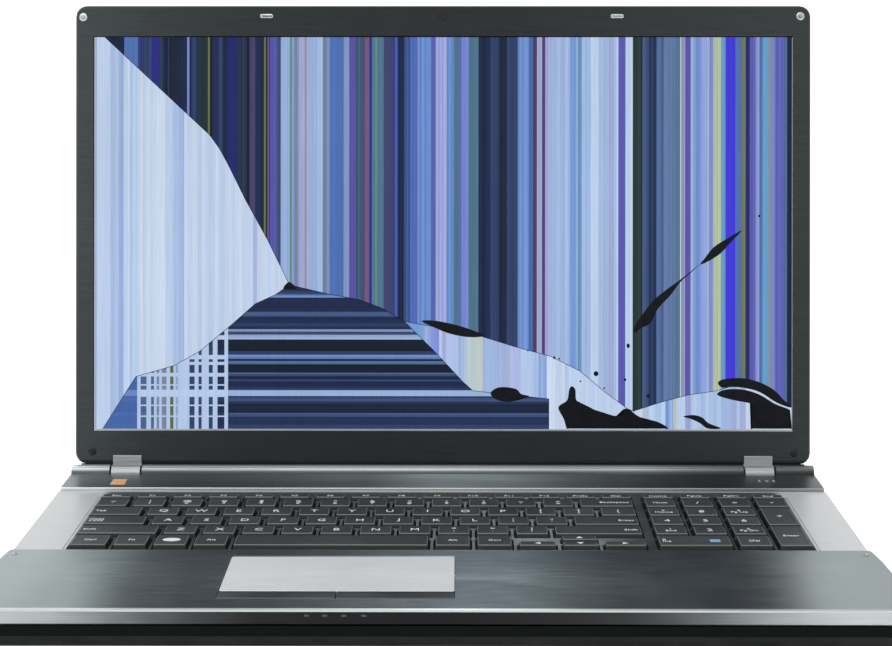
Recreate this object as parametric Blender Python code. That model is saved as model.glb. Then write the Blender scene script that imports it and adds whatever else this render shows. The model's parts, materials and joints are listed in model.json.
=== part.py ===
"""Broken 17 inch laptop, open, with a number pad and a shattered screen. Metres, +Z up."""
import math

import bmesh
import bpy
from mathutils import Vector

# Clearances and walls
GAP = 0.0003
WALL = 0.002
SKIN = 0.0016

# Base: heights are above the table, depths are from the front edge
FOOT_HEIGHT = 0.002
CASE_HEIGHT = 0.027
CASE_WIDTH = 0.406
CASE_DEPTH = 0.2628
CASE_CORNER = 0.011
DECK_DROP = 0.0016
PALM_OVERHANG = 0.003
PALM_DEPTH = 0.097
PALM_SKIRT = 0.0072
PALM_CORNER = 0.0135
FRONT_FACE = 0.0122
FRONT_TAPER = 0.034
STRIP_INSET = 0.001
STRIP_DEPTH = 0.0431
STRIP_SKIRT_REAR = 0.007
STRIP_HEEL = 0.0138

# Hinge and lid: the lid is drawn in its own frame, x along the axis, y backward, z up the lid
AXIS_SETBACK = 0.0058
AXIS_DROP = 0.0015
LID_LEAN = math.radians(9.145)
BARREL_RADIUS = 0.0054
BARREL_GAP = 0.0004
BARREL_WALL = 0.0011
PIN_RADIUS = 0.002
KNUCKLE_LENGTH = 0.0115
KNUCKLE_INWARD = 0.0015
HINGE_INSET = 0.0284
COVER_WIDTH = 0.0154
COVER_TOP = 0.0103
COVER_PROUD = 0.0007
COVER_BACK = 0.0056
SLOT_CLEARANCE = 0.0006
SLOT_REACH = 0.007
LID_INSET = 0.001
LID_HEIGHT = 0.2507
LID_THICKNESS = 0.008
LID_CORNER = 0.006
FACE_OFFSET = 0.0025
BEZEL_THICKNESS = 0.0018
LID_SKIN = 0.0015
SCREEN_BORDER = 0.00995
SCREEN_RISE = 0.0189
SCREEN_HEADROOM = 0.017
SCREEN_RECESS = 0.0008
GLASS_THICKNESS = 0.001
GLASS_MARGIN = 0.003
CRACK_WIDTH = 0.0003
PANEL_CLEARANCE = 0.0004
WEBCAM_DROP = 0.0049
WEBCAM_RADIUS = 0.0018

# Keyboard: widths are in key units, the number pad is four units wide
KEY_PITCH = 0.01905
MAIN_UNITS = 14.6
PAD_UNITS = 4
PAD_GAP = 0.003
KEY_SPACE = 0.002
KEY_TAPER = 0.0009
KEY_CORNER = 0.0012
KEY_EDGE = 0.0004
KEY_PROUD = 0.0006
KEY_SKIRT = 0.0006
KEY_TRAVEL = 0.002
KEY_STEM = 0.006
KEYS_SHIFT = 0.00035
KEYS_SETBACK = 0.0044
KEYS_BEHIND = 0.0141
FRONT_ROW_DEPTH = 0.0215
TOP_ROW_DEPTH = 0.0095
FRAME_THICKNESS = 0.001
FRAME_MARGIN = 0.001
PLATE_MARGIN = 0.0005
PLATE_THICKNESS = 0.001

# Palm rest furniture: the touchpad and its buttons share a width
TOUCH_LEFT = -0.097
TOUCH_WIDTH = 0.104
TOUCH_FRONT = 0.0282
TOUCH_BEHIND = 0.012
TOUCH_SINK = 0.0003
TOUCH_CORNER = 0.0015
TOUCH_LEDGE = 0.004
BUTTON_DEPTH = 0.0125
BUTTON_HEIGHT = 0.003
POWER_OUTWARD = 0.0005
POWER_BACK = 0.0133
POWER_WIDTH = 0.0078
POWER_DEPTH = 0.0115

# Widths and depths worked out from the sizes above
EDGE = CASE_WIDTH / 2
PALM_WIDTH = CASE_WIDTH + 2 * PALM_OVERHANG
STRIP_WIDTH = CASE_WIDTH - 2 * STRIP_INSET
LID_WIDTH = STRIP_WIDTH - 2 * LID_INSET
HINGE_X = LID_WIDTH / 2 - HINGE_INSET
SCREEN_WIDTH = LID_WIDTH - 2 * SCREEN_BORDER
SCREEN_HEIGHT = LID_HEIGHT - SCREEN_RISE - SCREEN_HEADROOM
AXIS_DEPTH = CASE_DEPTH - AXIS_SETBACK
STRIP_FRONT = CASE_DEPTH - STRIP_DEPTH
STRIP_STEP = CASE_DEPTH - STRIP_HEEL
SLOT_FRONT = AXIS_DEPTH - SLOT_REACH
KEYS_WIDTH = (MAIN_UNITS + PAD_UNITS) * KEY_PITCH + PAD_GAP
KEYS_LEFT = KEYS_SHIFT - KEYS_WIDTH / 2
KEYS_RIGHT = KEYS_LEFT + KEYS_WIDTH
KEYS_FRONT = PALM_DEPTH + KEYS_SETBACK
KEYS_REAR = STRIP_FRONT - KEYS_BEHIND
PAD_LEFT = KEYS_RIGHT - PAD_UNITS * KEY_PITCH
ROW_PITCH = (KEYS_REAR - KEYS_FRONT - FRONT_ROW_DEPTH - TOP_ROW_DEPTH) / 4
TOUCH_RIGHT = TOUCH_LEFT + TOUCH_WIDTH
TOUCH_REAR = PALM_DEPTH - TOUCH_BEHIND
POWER_X = -(HINGE_X + POWER_OUTWARD)
POWER_DEPTH_AT = STRIP_FRONT + POWER_BACK

# Heights worked out from the sizes above
PALM_Z = CASE_HEIGHT
DECK_Z = CASE_HEIGHT - DECK_DROP
AXIS_Z = CASE_HEIGHT - AXIS_DROP
FLOOR_Z = FOOT_HEIGHT + WALL
FRAME_Z = DECK_Z - FRAME_THICKNESS
KEY_TOP = PALM_Z + KEY_PROUD
KEY_BOTTOM = DECK_Z - KEY_SKIRT
PLATE_TOP = KEY_BOTTOM - KEY_TRAVEL - GAP
PLATE_Z = PLATE_TOP - PLATE_THICKNESS
RIM_PALM = PALM_Z - PALM_SKIRT - GAP
RIM_DECK = DECK_Z - SKIN - GAP
RIM_REAR = PALM_Z - STRIP_SKIRT_REAR - GAP

# Layers of the lid, from its front face backward, and its outline up from the axis
LID_EDGE = BARREL_RADIUS + BARREL_GAP
LID_TOP = LID_EDGE + LID_HEIGHT
LID_BACK = FACE_OFFSET + LID_THICKNESS
BEZEL_BACK = FACE_OFFSET + BEZEL_THICKNESS
GLASS_Y = BEZEL_BACK + GAP
BACKLIGHT_Y = GLASS_Y + GLASS_THICKNESS + GAP
BACKLIGHT_BACK = LID_BACK - LID_SKIN - PANEL_CLEARANCE
SCREEN_BASE = LID_EDGE + SCREEN_RISE
PANEL_BASE = SCREEN_BASE - GLASS_MARGIN
PANEL_TOP = SCREEN_BASE + SCREEN_HEIGHT + GLASS_MARGIN
PANEL_EDGE = SCREEN_WIDTH / 2 + GLASS_MARGIN
WEBCAM_Z = LID_TOP - WEBCAM_DROP
DEPTH_ALL = AXIS_DEPTH + LID_BACK * math.cos(LID_LEAN) + LID_TOP * math.sin(LID_LEAN)

FINISHES = {
    "gunmetal": ((0.055, 0.058, 0.062), 0.75, 0.38),
    "silver": ((0.58, 0.59, 0.60), 0.85, 0.32),
    "black plastic": ((0.012, 0.012, 0.013), 0.0, 0.45),
    "key plastic": ((0.035, 0.036, 0.038), 0.0, 0.5),
    "steel": ((0.45, 0.45, 0.46), 1.0, 0.35),
    "copper": ((0.75, 0.36, 0.20), 1.0, 0.3),
    "circuit board": ((0.02, 0.09, 0.05), 0.0, 0.5),
    "glass": ((0.30, 0.38, 0.62), 0.0, 0.12),
    "orange": ((0.75, 0.33, 0.10), 0.0, 0.4),
}


def clear_scene():
    for thing in list(bpy.data.objects):
        bpy.data.objects.remove(thing, do_unlink=True)


def finish_material(name):
    found = bpy.data.materials.get(name)
    if found:
        return found
    colour, metallic, roughness = FINISHES[name]
    made = bpy.data.materials.new(name)
    made.use_nodes = True
    shader = made.node_tree.nodes["Principled BSDF"]
    shader.inputs["Base Color"].default_value = (*colour, 1.0)
    shader.inputs["Metallic"].default_value = metallic
    shader.inputs["Roughness"].default_value = roughness
    made.diffuse_color = (*colour, 1.0)
    return made


def empty(name, location, parent=None, lean=0.0):
    frame = bpy.data.objects.new(name, None)
    frame.location = location
    frame.rotation_euler = (-lean, 0.0, 0.0)
    frame.parent = parent
    bpy.context.scene.collection.objects.link(frame)
    return frame


def piece(name, shape, finish, frame, smooth=False, origin=None):
    """Turn a bmesh into a named object; origin moves the object's own origin there."""
    bmesh.ops.recalc_face_normals(shape, faces=shape.faces)
    if origin is not None:
        bmesh.ops.translate(shape, vec=-Vector(origin), verts=shape.verts)
    mesh = bpy.data.meshes.new(name)
    shape.to_mesh(mesh)
    shape.free()
    if smooth:
        mesh.shade_smooth()
        mesh.set_sharp_from_angle(angle=math.radians(35))
    made = bpy.data.objects.new(name, mesh)
    made.data.materials.append(finish_material(finish))
    made.parent = frame
    if origin is not None:
        made.location = origin
    bpy.context.scene.collection.objects.link(made)
    return made


def combine(target, shape, operation):
    """Add a Boolean modifier to target with a hidden helper made from shape."""
    bmesh.ops.recalc_face_normals(shape, faces=shape.faces)
    mesh = bpy.data.meshes.new(target.name + " helper")
    shape.to_mesh(mesh)
    shape.free()
    helper = bpy.data.objects.new(target.name + " helper", mesh)
    helper.parent = target.parent
    helper.hide_render = True
    helper.display_type = "WIRE"
    bpy.context.scene.collection.objects.link(helper)
    step = target.modifiers.new(operation.title(), "BOOLEAN")
    step.operation = operation
    step.solver = "EXACT"
    step.object = helper


def cut(target, *shapes):
    combine(target, merged(shapes), "DIFFERENCE")


def join(target, *shapes):
    combine(target, merged(shapes), "UNION")


def merged(shapes):
    """Put several separate closed bodies into one bmesh."""
    whole = bmesh.new()
    for shape in shapes:
        part = bpy.data.meshes.new("part")
        shape.to_mesh(part)
        whole.from_mesh(part)
        shape.free()
        bpy.data.meshes.remove(part)
    return whole


def lift(point, level, plane):
    """Place an outline point of one plane at a level along that plane's normal."""
    first, second = point
    if plane == "xy":
        return (first, second, level)
    if plane == "xz":
        return (first, level, second)
    return (level, first, second)


def inset(outline, distance):
    """Move each side of a counter-clockwise outline inward by distance."""
    moved = []
    count = len(outline)
    for index in range(count):
        before = Vector(outline[index - 1])
        here = Vector(outline[index])
        after = Vector(outline[(index + 1) % count])
        side_in = (here - before).normalized()
        side_out = (after - here).normalized()
        normal_in = Vector((-side_in.y, side_in.x))
        normal_out = Vector((-side_out.y, side_out.x))
        middle = (normal_in + normal_out) / (1.0 + normal_in.dot(normal_out))
        moved.append(tuple(here + middle * distance))
    return moved


def loft(outline, levels, plane="xy"):
    """Closed solid through copies of an outline; levels are (height, inset) pairs."""
    shape = bmesh.new()
    rings = []
    for height, distance in levels:
        points = inset(outline, distance) if distance else outline
        rings.append([shape.verts.new(lift(point, height, plane)) for point in points])
    for lower, upper in zip(rings, rings[1:]):
        for index in range(len(lower)):
            following = (index + 1) % len(lower)
            shape.faces.new((lower[index], lower[following], upper[following], upper[index]))
    shape.faces.new(rings[0][::-1])
    shape.faces.new(rings[-1])
    bmesh.ops.recalc_face_normals(shape, faces=shape.faces)
    return shape


def prism(outline, start, end, plane="xy"):
    return loft(outline, [(start, 0.0), (end, 0.0)], plane)


def rectangle(left, right, low, high):
    return [(left, low), (right, low), (right, high), (left, high)]


def box(left, right, front, rear, low, high):
    return prism(rectangle(left, right, front, rear), low, high)


def arc(centre, radius, start, end, steps):
    """Points along an arc, angles in degrees."""
    points = []
    for index in range(steps + 1):
        angle = math.radians(start + (end - start) * index / steps)
        points.append((centre[0] + radius * math.cos(angle), centre[1] + radius * math.sin(angle)))
    return points


def rounded(left, right, low, high, radius, steps=3):
    """Counter-clockwise rectangle with round corners."""
    outline = []
    outline += arc((right - radius, low + radius), radius, -90, 0, steps)
    outline += arc((right - radius, high - radius), radius, 0, 90, steps)
    outline += arc((left + radius, high - radius), radius, 90, 180, steps)
    outline += arc((left + radius, low + radius), radius, 180, 270, steps)
    return outline


def circle(centre, radius, sides):
    return arc(centre, radius, 0, 360 * (sides - 1) / sides, sides - 1)


def mirrored_x(value, side):
    """A pair of x limits on one side of the laptop, in rising order."""
    low, high = value
    return (low, high) if side > 0 else (-high, -low)


def case_profile(margin, rim):
    """Side view of the tray, from the blunt front over the sloping chin to the rear wall."""
    chin = PALM_Z - FRONT_FACE
    floor = FOOT_HEIGHT + margin
    outline = [(CASE_DEPTH - margin, floor), (CASE_DEPTH - margin, rim), (margin, rim)]
    outline.append((margin, chin + margin * 0.4))
    outline.append((margin + FRONT_TAPER * 0.25, chin + margin * 0.8 - (chin - FOOT_HEIGHT) * 0.52))
    outline.append((margin + FRONT_TAPER * 0.6, floor + (chin - FOOT_HEIGHT) * 0.16))
    outline.append((margin + FRONT_TAPER, floor))
    return outline


def case_body(margin, rim):
    """Outer or inner form of the tray: its side view cut to the rounded plan."""
    half = EDGE - margin
    return prism(case_profile(margin, rim), -half, half, "yz")


# Feet and hidden openings of the bottom shell
FOOT_LENGTH = 0.032
FOOT_WIDTH = 0.008
FOOT_CORNER = 0.0035
FOOT_X = EDGE - 0.047
FOOT_DEPTHS = (FRONT_TAPER + 0.018, CASE_DEPTH - 0.0188)
LOCK_DEPTH = CASE_DEPTH - 0.0188
LOCK_WIDTH = 0.0035
LOCK_LOW = 0.010
LOCK_HIGH = 0.017

# Optical drive: sized by its disc, its outer end in the right wall
DISC_RADIUS = 0.0592
DRIVE_MARGIN_X = 0.0043
DRIVE_MARGIN_Y = 0.0033
DRIVE_SETBACK = 0.0258
DRIVE_HEIGHT = 0.0127
DRIVE_SHELL = 0.0008
TRAY_HEIGHT = 0.0075
TRAY_RECESS = 0.0018
SPINDLE_RADIUS = 0.0072
DRIVE_INNER = EDGE - 2 * (DISC_RADIUS + DRIVE_MARGIN_X)
DRIVE_REAR = CASE_DEPTH - DRIVE_SETBACK
DRIVE_FRONT = DRIVE_REAR - 2 * (DISC_RADIUS + DRIVE_MARGIN_Y)
DRIVE_LOW = FLOOR_Z + GAP
DRIVE_HIGH = DRIVE_LOW + DRIVE_HEIGHT

# Fan against its row of fins, in the left rear part of the case, and the air outlet beside it
FAN_HALF = 0.029
FAN_MARGIN = 0.0045
FAN_HEIGHT = 0.0115
FAN_BLADES = 15
FAN_HUB = 0.0095
FAN_AXLE = 0.0012
FAN_AXLE_HEIGHT = 0.0075
FAN_INLET = 0.0175
FIN_LENGTH = 0.0134
FIN_COUNT = 14
PIPE_WIDTH = 0.006
PIPE_HEIGHT = 0.0025
BATTERY_DEPTH = 0.0518
BATTERY_FRONT = CASE_DEPTH - BATTERY_DEPTH
FAN_SETBACK = 0.039
FAN_RADIUS = FAN_HALF - FAN_MARGIN
FAN_X = -EDGE + WALL + FIN_LENGTH + FAN_HALF + 2 * GAP
FAN_Y = BATTERY_FRONT - FAN_SETBACK
FAN_LOW = FLOOR_Z + GAP
FAN_HIGH = FAN_LOW + FAN_HEIGHT
VENT_FRONT = FAN_Y - 0.023
VENT_REAR = FAN_Y + 0.024
VENT_LOW = 0.0065
VENT_HIGH = 0.0155
VENT_SLOTS = 9

# Motherboard: between the fan and the drive, behind the hard drive and before the battery
DISK_CLEARANCE = 0.0032
DISK_HEIGHT = 0.0098
DISK_LENGTH = 0.1
BOARD_Z = 0.01
BOARD_THICKNESS = 0.0014
BOARD_TOP = BOARD_Z + BOARD_THICKNESS
BOARD_LEFT = FAN_X + FAN_HALF + 0.004
BOARD_RIGHT = DRIVE_INNER - 0.006
DISK_FRONT = FRONT_TAPER + 0.005
DISK_REAR = DRIVE_FRONT - DISK_CLEARANCE
BOARD_FRONT = DISK_REAR + 0.0042
BOARD_REAR = BATTERY_FRONT - 0.003
CPU_SIZE = 0.036
CPU_LEFT = BOARD_LEFT + 0.015
CPU_RIGHT = CPU_LEFT + CPU_SIZE
CPU_REAR = BOARD_REAR - 0.022
CPU_FRONT = CPU_REAR - CPU_SIZE
CPU_HEIGHT = 0.0012
GRAPHICS_SIZE = 0.026
GRAPHICS_LEFT = BOARD_RIGHT - 0.102
GRAPHICS_HEIGHT = 0.0022
HEADER = (BOARD_RIGHT - 0.070, BOARD_RIGHT - 0.010, BOARD_REAR - 0.018, BOARD_REAR - 0.012)
HEADER_HEIGHT = 0.004
CARD_SLOT_FRONT = BOARD_FRONT + 0.016
MEMORY_LEFT = BOARD_RIGHT - 0.104
MEMORY_WIDTH = 0.070
MEMORY_SLOT_DEPTH = 0.005
MEMORY_LENGTH = 0.0297
WIRELESS_LEFT = BOARD_LEFT + 0.015
WIRELESS_WIDTH = 0.032
WIRELESS_SLOT_DEPTH = 0.004
WIRELESS_LENGTH = 0.0267
CARD_DROP = 0.001
CARD_THICKNESS = 0.0024
PILLAR_RADIUS = 0.0025

# Battery across the rear, its latch, and the cover over the memory
BATTERY_CLEARANCE = 0.0007
BATTERY = (BOARD_LEFT, BOARD_RIGHT, BATTERY_FRONT, CASE_DEPTH, FOOT_HEIGHT, RIM_REAR - BATTERY_CLEARANCE)
LATCH_TRAVEL = 0.006
LATCH_RIBS = 5
LATCH_REAR = BATTERY_FRONT - 0.006
LATCH = (-0.012, 0.012, LATCH_REAR - 0.007, LATCH_REAR)
SERVICE_REAR = LATCH_REAR - 0.020
SERVICE = (-0.060, 0.050, SERVICE_REAR - 0.065, SERVICE_REAR)
SERVICE_SLOTS = 8

# Speakers under the palm rest
SPEAKER_LENGTH = 0.040
SPEAKER_DEPTH = 0.032
SPEAKER_HEIGHT = 0.011
SPEAKER_CONE = 0.0125
SPEAKER_OUTER = EDGE - 0.023
SPEAKER_FRONT = FRONT_TAPER + 0.006
DISK_RIGHT = SPEAKER_OUTER - SPEAKER_LENGTH - 0.010

# Sockets in the side walls: "at" is the depth of the middle, "drop" its depth below the palm rest
USB_SPACING = 0.018
USB_MOUTH = 0.013
SOCKET_INSET = 0.0006
SOCKET_WALL = 0.0005
SOCKETS = {
    "usb_block_left": dict(
        side=-1, at=VENT_FRONT - 0.075, width=0.0325, drop=0.0125, height=0.0064, length=0.0165
    ),
    "hdmi_socket": dict(
        side=-1, at=VENT_FRONT - 0.050, width=0.0152, drop=0.0120, height=0.0056, length=0.0120
    ),
    "ethernet_socket": dict(
        side=-1, at=VENT_FRONT - 0.034, width=0.0140, drop=0.0135, height=0.0095, length=0.0150
    ),
    "vga_socket": dict(
        side=-1, at=VENT_FRONT - 0.017, width=0.0180, drop=0.0135, height=0.0090, length=0.0100
    ),
    "power_inlet": dict(
        side=-1, at=CASE_DEPTH - 0.0348, width=0.0100, drop=0.0135, height=0.0095, length=0.0130
    ),
    "usb_socket_right": dict(
        side=1, at=DRIVE_FRONT - 0.014, width=0.0145, drop=0.0125, height=0.0064, length=0.0165
    ),
    "audio_block": dict(
        side=1, at=DRIVE_FRONT - 0.048, width=0.0180, drop=0.0130, height=0.0070, length=0.0130
    ),
}


def socket_box(data, grow=0.0):
    """Outer box of a socket, grown by a clearance, as six limits."""
    outer = EDGE - SOCKET_INSET
    limits = mirrored_x((outer - data["length"], outer), data["side"])
    middle = PALM_Z - data["drop"]
    return (
        limits[0] - (grow if data["side"] > 0 else grow + WALL),
        limits[1] + (grow if data["side"] < 0 else grow + WALL),
        data["at"] - data["width"] / 2 - grow,
        data["at"] + data["width"] / 2 + grow,
        middle - data["height"] / 2 - grow,
        middle + data["height"] / 2 + grow,
    )


def build_bottom_shell(case):
    shell = piece("bottom_shell", case_body(0.0, RIM_DECK), "black plastic", case)
    corner = rounded(-EDGE, EDGE, 0.0, CASE_DEPTH, CASE_CORNER, 4)
    combine(shell, prism(corner, 0.0, CASE_HEIGHT), "INTERSECT")
    cut(shell, case_body(WALL, CASE_HEIGHT))
    feet = []
    for side in (-1, 1):
        left, right = mirrored_x((FOOT_X - FOOT_LENGTH / 2, FOOT_X + FOOT_LENGTH / 2), side)
        for depth in FOOT_DEPTHS:
            foot = rounded(left, right, depth - FOOT_WIDTH / 2, depth + FOOT_WIDTH / 2, FOOT_CORNER, 3)
            feet.append(loft(foot, [(0.0, 0.0006), (0.0008, 0.0), (FOOT_HEIGHT + 0.0005, 0.0)]))
    join(shell, *feet)
    front_rim = box(-CASE_WIDTH, CASE_WIDTH, -WALL, PALM_DEPTH + GAP, RIM_PALM, CASE_HEIGHT)
    rear_rim = box(-CASE_WIDTH, CASE_WIDTH, STRIP_STEP - GAP, CASE_DEPTH + WALL, RIM_REAR, CASE_HEIGHT)
    cut(shell, front_rim, rear_rim)
    ports = [box(*socket_box(data, GAP)) for data in SOCKETS.values()]
    ports.append(box(EDGE - 2 * WALL, EDGE + WALL, DRIVE_FRONT, DRIVE_REAR, DRIVE_LOW, DRIVE_HIGH))
    left, right, front, rear, low, high = BATTERY
    ports.append(box(left - GAP, right + GAP, front - GAP, rear + WALL, low - WALL, high + GAP))
    cut(shell, *ports)
    cut_shell_slots(shell)
    left, right, front, rear = SERVICE
    hatch = box(left - GAP, right + GAP, front - GAP, rear + GAP, 0.0, FLOOR_Z + WALL)
    left, right, front, rear = LATCH
    slide = box(left - GAP, right + LATCH_TRAVEL + GAP, front - GAP, rear + GAP, 0.0, FLOOR_Z + WALL)
    lock_rear = LOCK_DEPTH + LOCK_WIDTH
    lock = box(-EDGE - WALL, -EDGE + 2 * WALL, LOCK_DEPTH, lock_rear, LOCK_LOW, LOCK_HIGH)
    cut(shell, hatch, slide, lock)


def cut_shell_slots(shell):
    """Warm air leaves through the left wall and fresh air comes in under the fan."""
    slots = []
    pitch = (VENT_REAR - VENT_FRONT) / VENT_SLOTS
    for index in range(VENT_SLOTS):
        start = VENT_FRONT + index * pitch
        slot = (-EDGE - WALL, -EDGE + 2 * WALL, start, start + pitch * 0.55, VENT_LOW, VENT_HIGH)
        slots.append(box(*slot))
    intake = FAN_HALF - 0.011
    for index in range(7):
        start = FAN_X - 0.020 + index * 0.006
        slots.append(box(start, start + 0.003, FAN_Y - intake, FAN_Y + intake, 0.0, FLOOR_Z + WALL))
    cut(shell, *slots)


def build_service_cover(case):
    left, right, front, rear = SERVICE
    outline = rectangle(left, right, front, rear)
    levels = [(FOOT_HEIGHT, 0.0004), (FOOT_HEIGHT + 0.0004, 0.0), (FLOOR_Z, 0.0)]
    cover = piece("service_cover", loft(outline, levels), "black plastic", case)
    pitch = (right - left) / (SERVICE_SLOTS + 3)
    slots = []
    for index in range(SERVICE_SLOTS):
        start = left + (index + 1.6) * pitch
        slots.append(box(start, start + 0.003, front + 0.012, rear - 0.024, 0.0, FLOOR_Z + WALL))
    cut(cover, *slots)


def build_top_deck(case):
    outline = rectangle(-EDGE, EDGE, PALM_DEPTH + GAP, STRIP_FRONT)
    levels = [(DECK_Z - SKIN, 0.0), (DECK_Z - 0.0005, 0.0), (DECK_Z, 0.0005)]
    deck = piece("top_deck", loft(outline, levels), "silver", case)
    left, right, low, high = keyboard_limits(FRAME_MARGIN + GAP)
    cut(deck, box(left, right, low, high, 0.0, CASE_HEIGHT))


def keyboard_limits(grow):
    """Plan limits of the block of keys, grown by a margin."""
    return (KEYS_LEFT - grow, KEYS_RIGHT + grow, KEYS_FRONT - grow, KEYS_REAR + grow)


def palm_outline():
    """Plan of the palm rest: round front corners, rear corners drawn in to the deck's width."""
    half = PALM_WIDTH / 2
    corner = PALM_CORNER
    outline = arc((half - corner, corner), corner, -90, 0, 5)
    outline += [(half, PALM_DEPTH * 0.62), (half - 0.0006, PALM_DEPTH * 0.8)]
    outline += [(EDGE + 0.0008, PALM_DEPTH - 0.001), (EDGE - 0.0012, PALM_DEPTH)]
    left = [(-x, y) for x, y in outline]
    return outline + left[::-1]


def build_palm_rest(case):
    outline = palm_outline()
    bottom = PALM_Z - PALM_SKIRT
    levels = [(bottom, 0.0005), (bottom + 0.0006, 0.0), (PALM_Z - 0.0013, 0.0)]
    levels += [(PALM_Z - 0.0005, 0.0003), (PALM_Z, 0.0011)]
    palm = piece("palm_rest", loft(outline, levels), "gunmetal", case)
    hollow = rounded(-EDGE, EDGE, WALL, PALM_DEPTH - WALL, PALM_CORNER - WALL, 4)
    front = TOUCH_FRONT - BUTTON_DEPTH - 2 * GAP
    window = rounded(TOUCH_LEFT - GAP, TOUCH_RIGHT + GAP, front, TOUCH_REAR + GAP, TOUCH_CORNER, 2)
    cut(palm, prism(hollow, 0.0, PALM_Z - SKIN))
    cut(palm, prism(window, PALM_Z - SKIN - WALL, CASE_HEIGHT + WALL))


def build_touchpad(case):
    top = PALM_Z - TOUCH_SINK
    outline = rounded(TOUCH_LEFT, TOUCH_RIGHT, TOUCH_FRONT + GAP, TOUCH_REAR, TOUCH_CORNER, 2)
    levels = [(top - SKIN, 0.0), (top - 0.0002, 0.0), (top, 0.0002)]
    pad = piece("touchpad", loft(outline, levels), "silver", case)
    left = TOUCH_LEFT + TOUCH_LEDGE
    right = TOUCH_RIGHT - TOUCH_LEDGE
    front = TOUCH_FRONT + TOUCH_LEDGE
    rear = TOUCH_REAR - TOUCH_LEDGE
    join(pad, box(left, right, front, rear, top - 2 * SKIN, top - SKIN / 2))
    middle = (TOUCH_LEFT + TOUCH_RIGHT) / 2
    front = TOUCH_FRONT - BUTTON_DEPTH
    low = top - BUTTON_HEIGHT
    bar = [(front, low), (TOUCH_FRONT - GAP, low), (TOUCH_FRONT - GAP, top)]
    bar += [(front + 0.0025, top), (front + 0.0008, top - 0.0004), (front, top - 0.0012)]
    ends = {"left_button": (TOUCH_LEFT, middle - GAP), "right_button": (middle + GAP, TOUCH_RIGHT)}
    for name, (left, right) in ends.items():
        button = prism(bar, left, right, "yz")
        piece(name, button, "gunmetal", case, origin=((left + right) / 2, front, top))


def strip_outline(inner):
    """Side view of the rear strip: flat band, then the ridge round the hinge axis."""
    front = STRIP_FRONT + GAP
    top = PALM_Z
    radius = BARREL_RADIUS
    rear = AXIS_DEPTH + radius
    skirt = PALM_Z - STRIP_SKIRT_REAR
    low = RIM_DECK + GAP
    if inner:
        front += SKIN
        top -= SKIN
        radius -= BARREL_WALL
        rear -= BARREL_WALL
        skirt -= WALL
        low -= WALL
    foot = 180 - math.degrees(math.asin((top - AXIS_Z) / radius)) if top > AXIS_Z else 180
    outline = [(front, low), (front, top - 0.0004), (front + 0.0006, top)]
    outline += arc((AXIS_DEPTH, AXIS_Z), radius, foot, 0, 9)
    outline += [(rear, skirt), (STRIP_STEP, skirt), (STRIP_STEP, low)]
    return outline[::-1]


def build_rear_strip(case):
    half = STRIP_WIDTH / 2
    body = prism(strip_outline(False), -half, half, "yz")
    strip = piece("rear_strip", body, "gunmetal", case, smooth=True)
    cut(strip, prism(strip_outline(True), -half + SKIN, half - SKIN, "yz"))
    slots = []
    reach = COVER_WIDTH / 2 + SLOT_CLEARANCE
    for side in (-1, 1):
        left, right = mirrored_x((HINGE_X - reach, HINGE_X + reach), side)
        slots.append(box(left, right, SLOT_FRONT, CASE_DEPTH + WALL, 0.0, 2 * CASE_HEIGHT))
    wide = POWER_WIDTH / 2 + GAP
    deep = POWER_DEPTH / 2 + GAP
    limits = (POWER_X - wide, POWER_X + wide, POWER_DEPTH_AT - deep, POWER_DEPTH_AT + deep)
    slots.append(box(*limits, DECK_Z - WALL, CASE_HEIGHT + WALL))
    cut(strip, *slots)


def build_power_button(case):
    wide = POWER_WIDTH / 2
    deep = POWER_DEPTH / 2
    limits = (POWER_X - wide, POWER_X + wide, POWER_DEPTH_AT - deep, POWER_DEPTH_AT + deep)
    levels = [(PALM_Z - 0.0035, 0.0), (PALM_Z + 0.0001, 0.0), (PALM_Z + 0.0003, 0.0004)]
    button = loft(rectangle(*limits), levels)
    piece("power_button", button, "orange", case, origin=(POWER_X, POWER_DEPTH_AT, PALM_Z))


# Key rows from the front, as widths in key units that add up to the main block
KEY_ROWS = [
    [1.1, 1, 1, 1, 5.05, 1.05, 1.05, 1.1, 1.05, 1.2],
    [2.2] + [1] * 10 + [2.4],
    [1.75] + [1] * 11 + [1.85],
    [1.5] + [1] * 12 + [1.1],
    [1] * 13 + [1.6],
    [MAIN_UNITS / 15] * 15,
]
NAMED_KEYS = {
    (0, 4): "space_bar",
    (1, 0): "left_shift_key",
    (1, 11): "right_shift_key",
    (2, 0): "caps_lock_key",
    (2, 12): "enter_key",
    (3, 0): "tab_key",
    (4, 13): "backspace_key",
}
HALF_KEYS = {7: "low", 8: "both", 9: "low"}


def row_limits(row):
    """Front and rear of a key row's cell."""
    if row == 0:
        return KEYS_FRONT, KEYS_FRONT + FRONT_ROW_DEPTH
    front = KEYS_FRONT + FRONT_ROW_DEPTH + (row - 1) * ROW_PITCH
    return front, front + (TOP_ROW_DEPTH if row == 5 else ROW_PITCH)


def key_cells():
    """Every key as (name or None, left, right, front, rear) of its cell."""
    cells = []
    for row, widths in enumerate(KEY_ROWS):
        front, rear = row_limits(row)
        left = KEYS_LEFT
        for column, width in enumerate(widths):
            right = left + width * KEY_PITCH
            middle = (front + rear) / 2
            half = HALF_KEYS.get(column) if row == 0 else None
            if half:
                cells.append((None, left, right, front, middle))
            if half == "both":
                cells.append((None, left, right, middle, rear))
            if not half:
                cells.append((NAMED_KEYS.get((row, column)), left, right, front, rear))
            left = right
    cells += number_pad_cells()
    return cells


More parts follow.
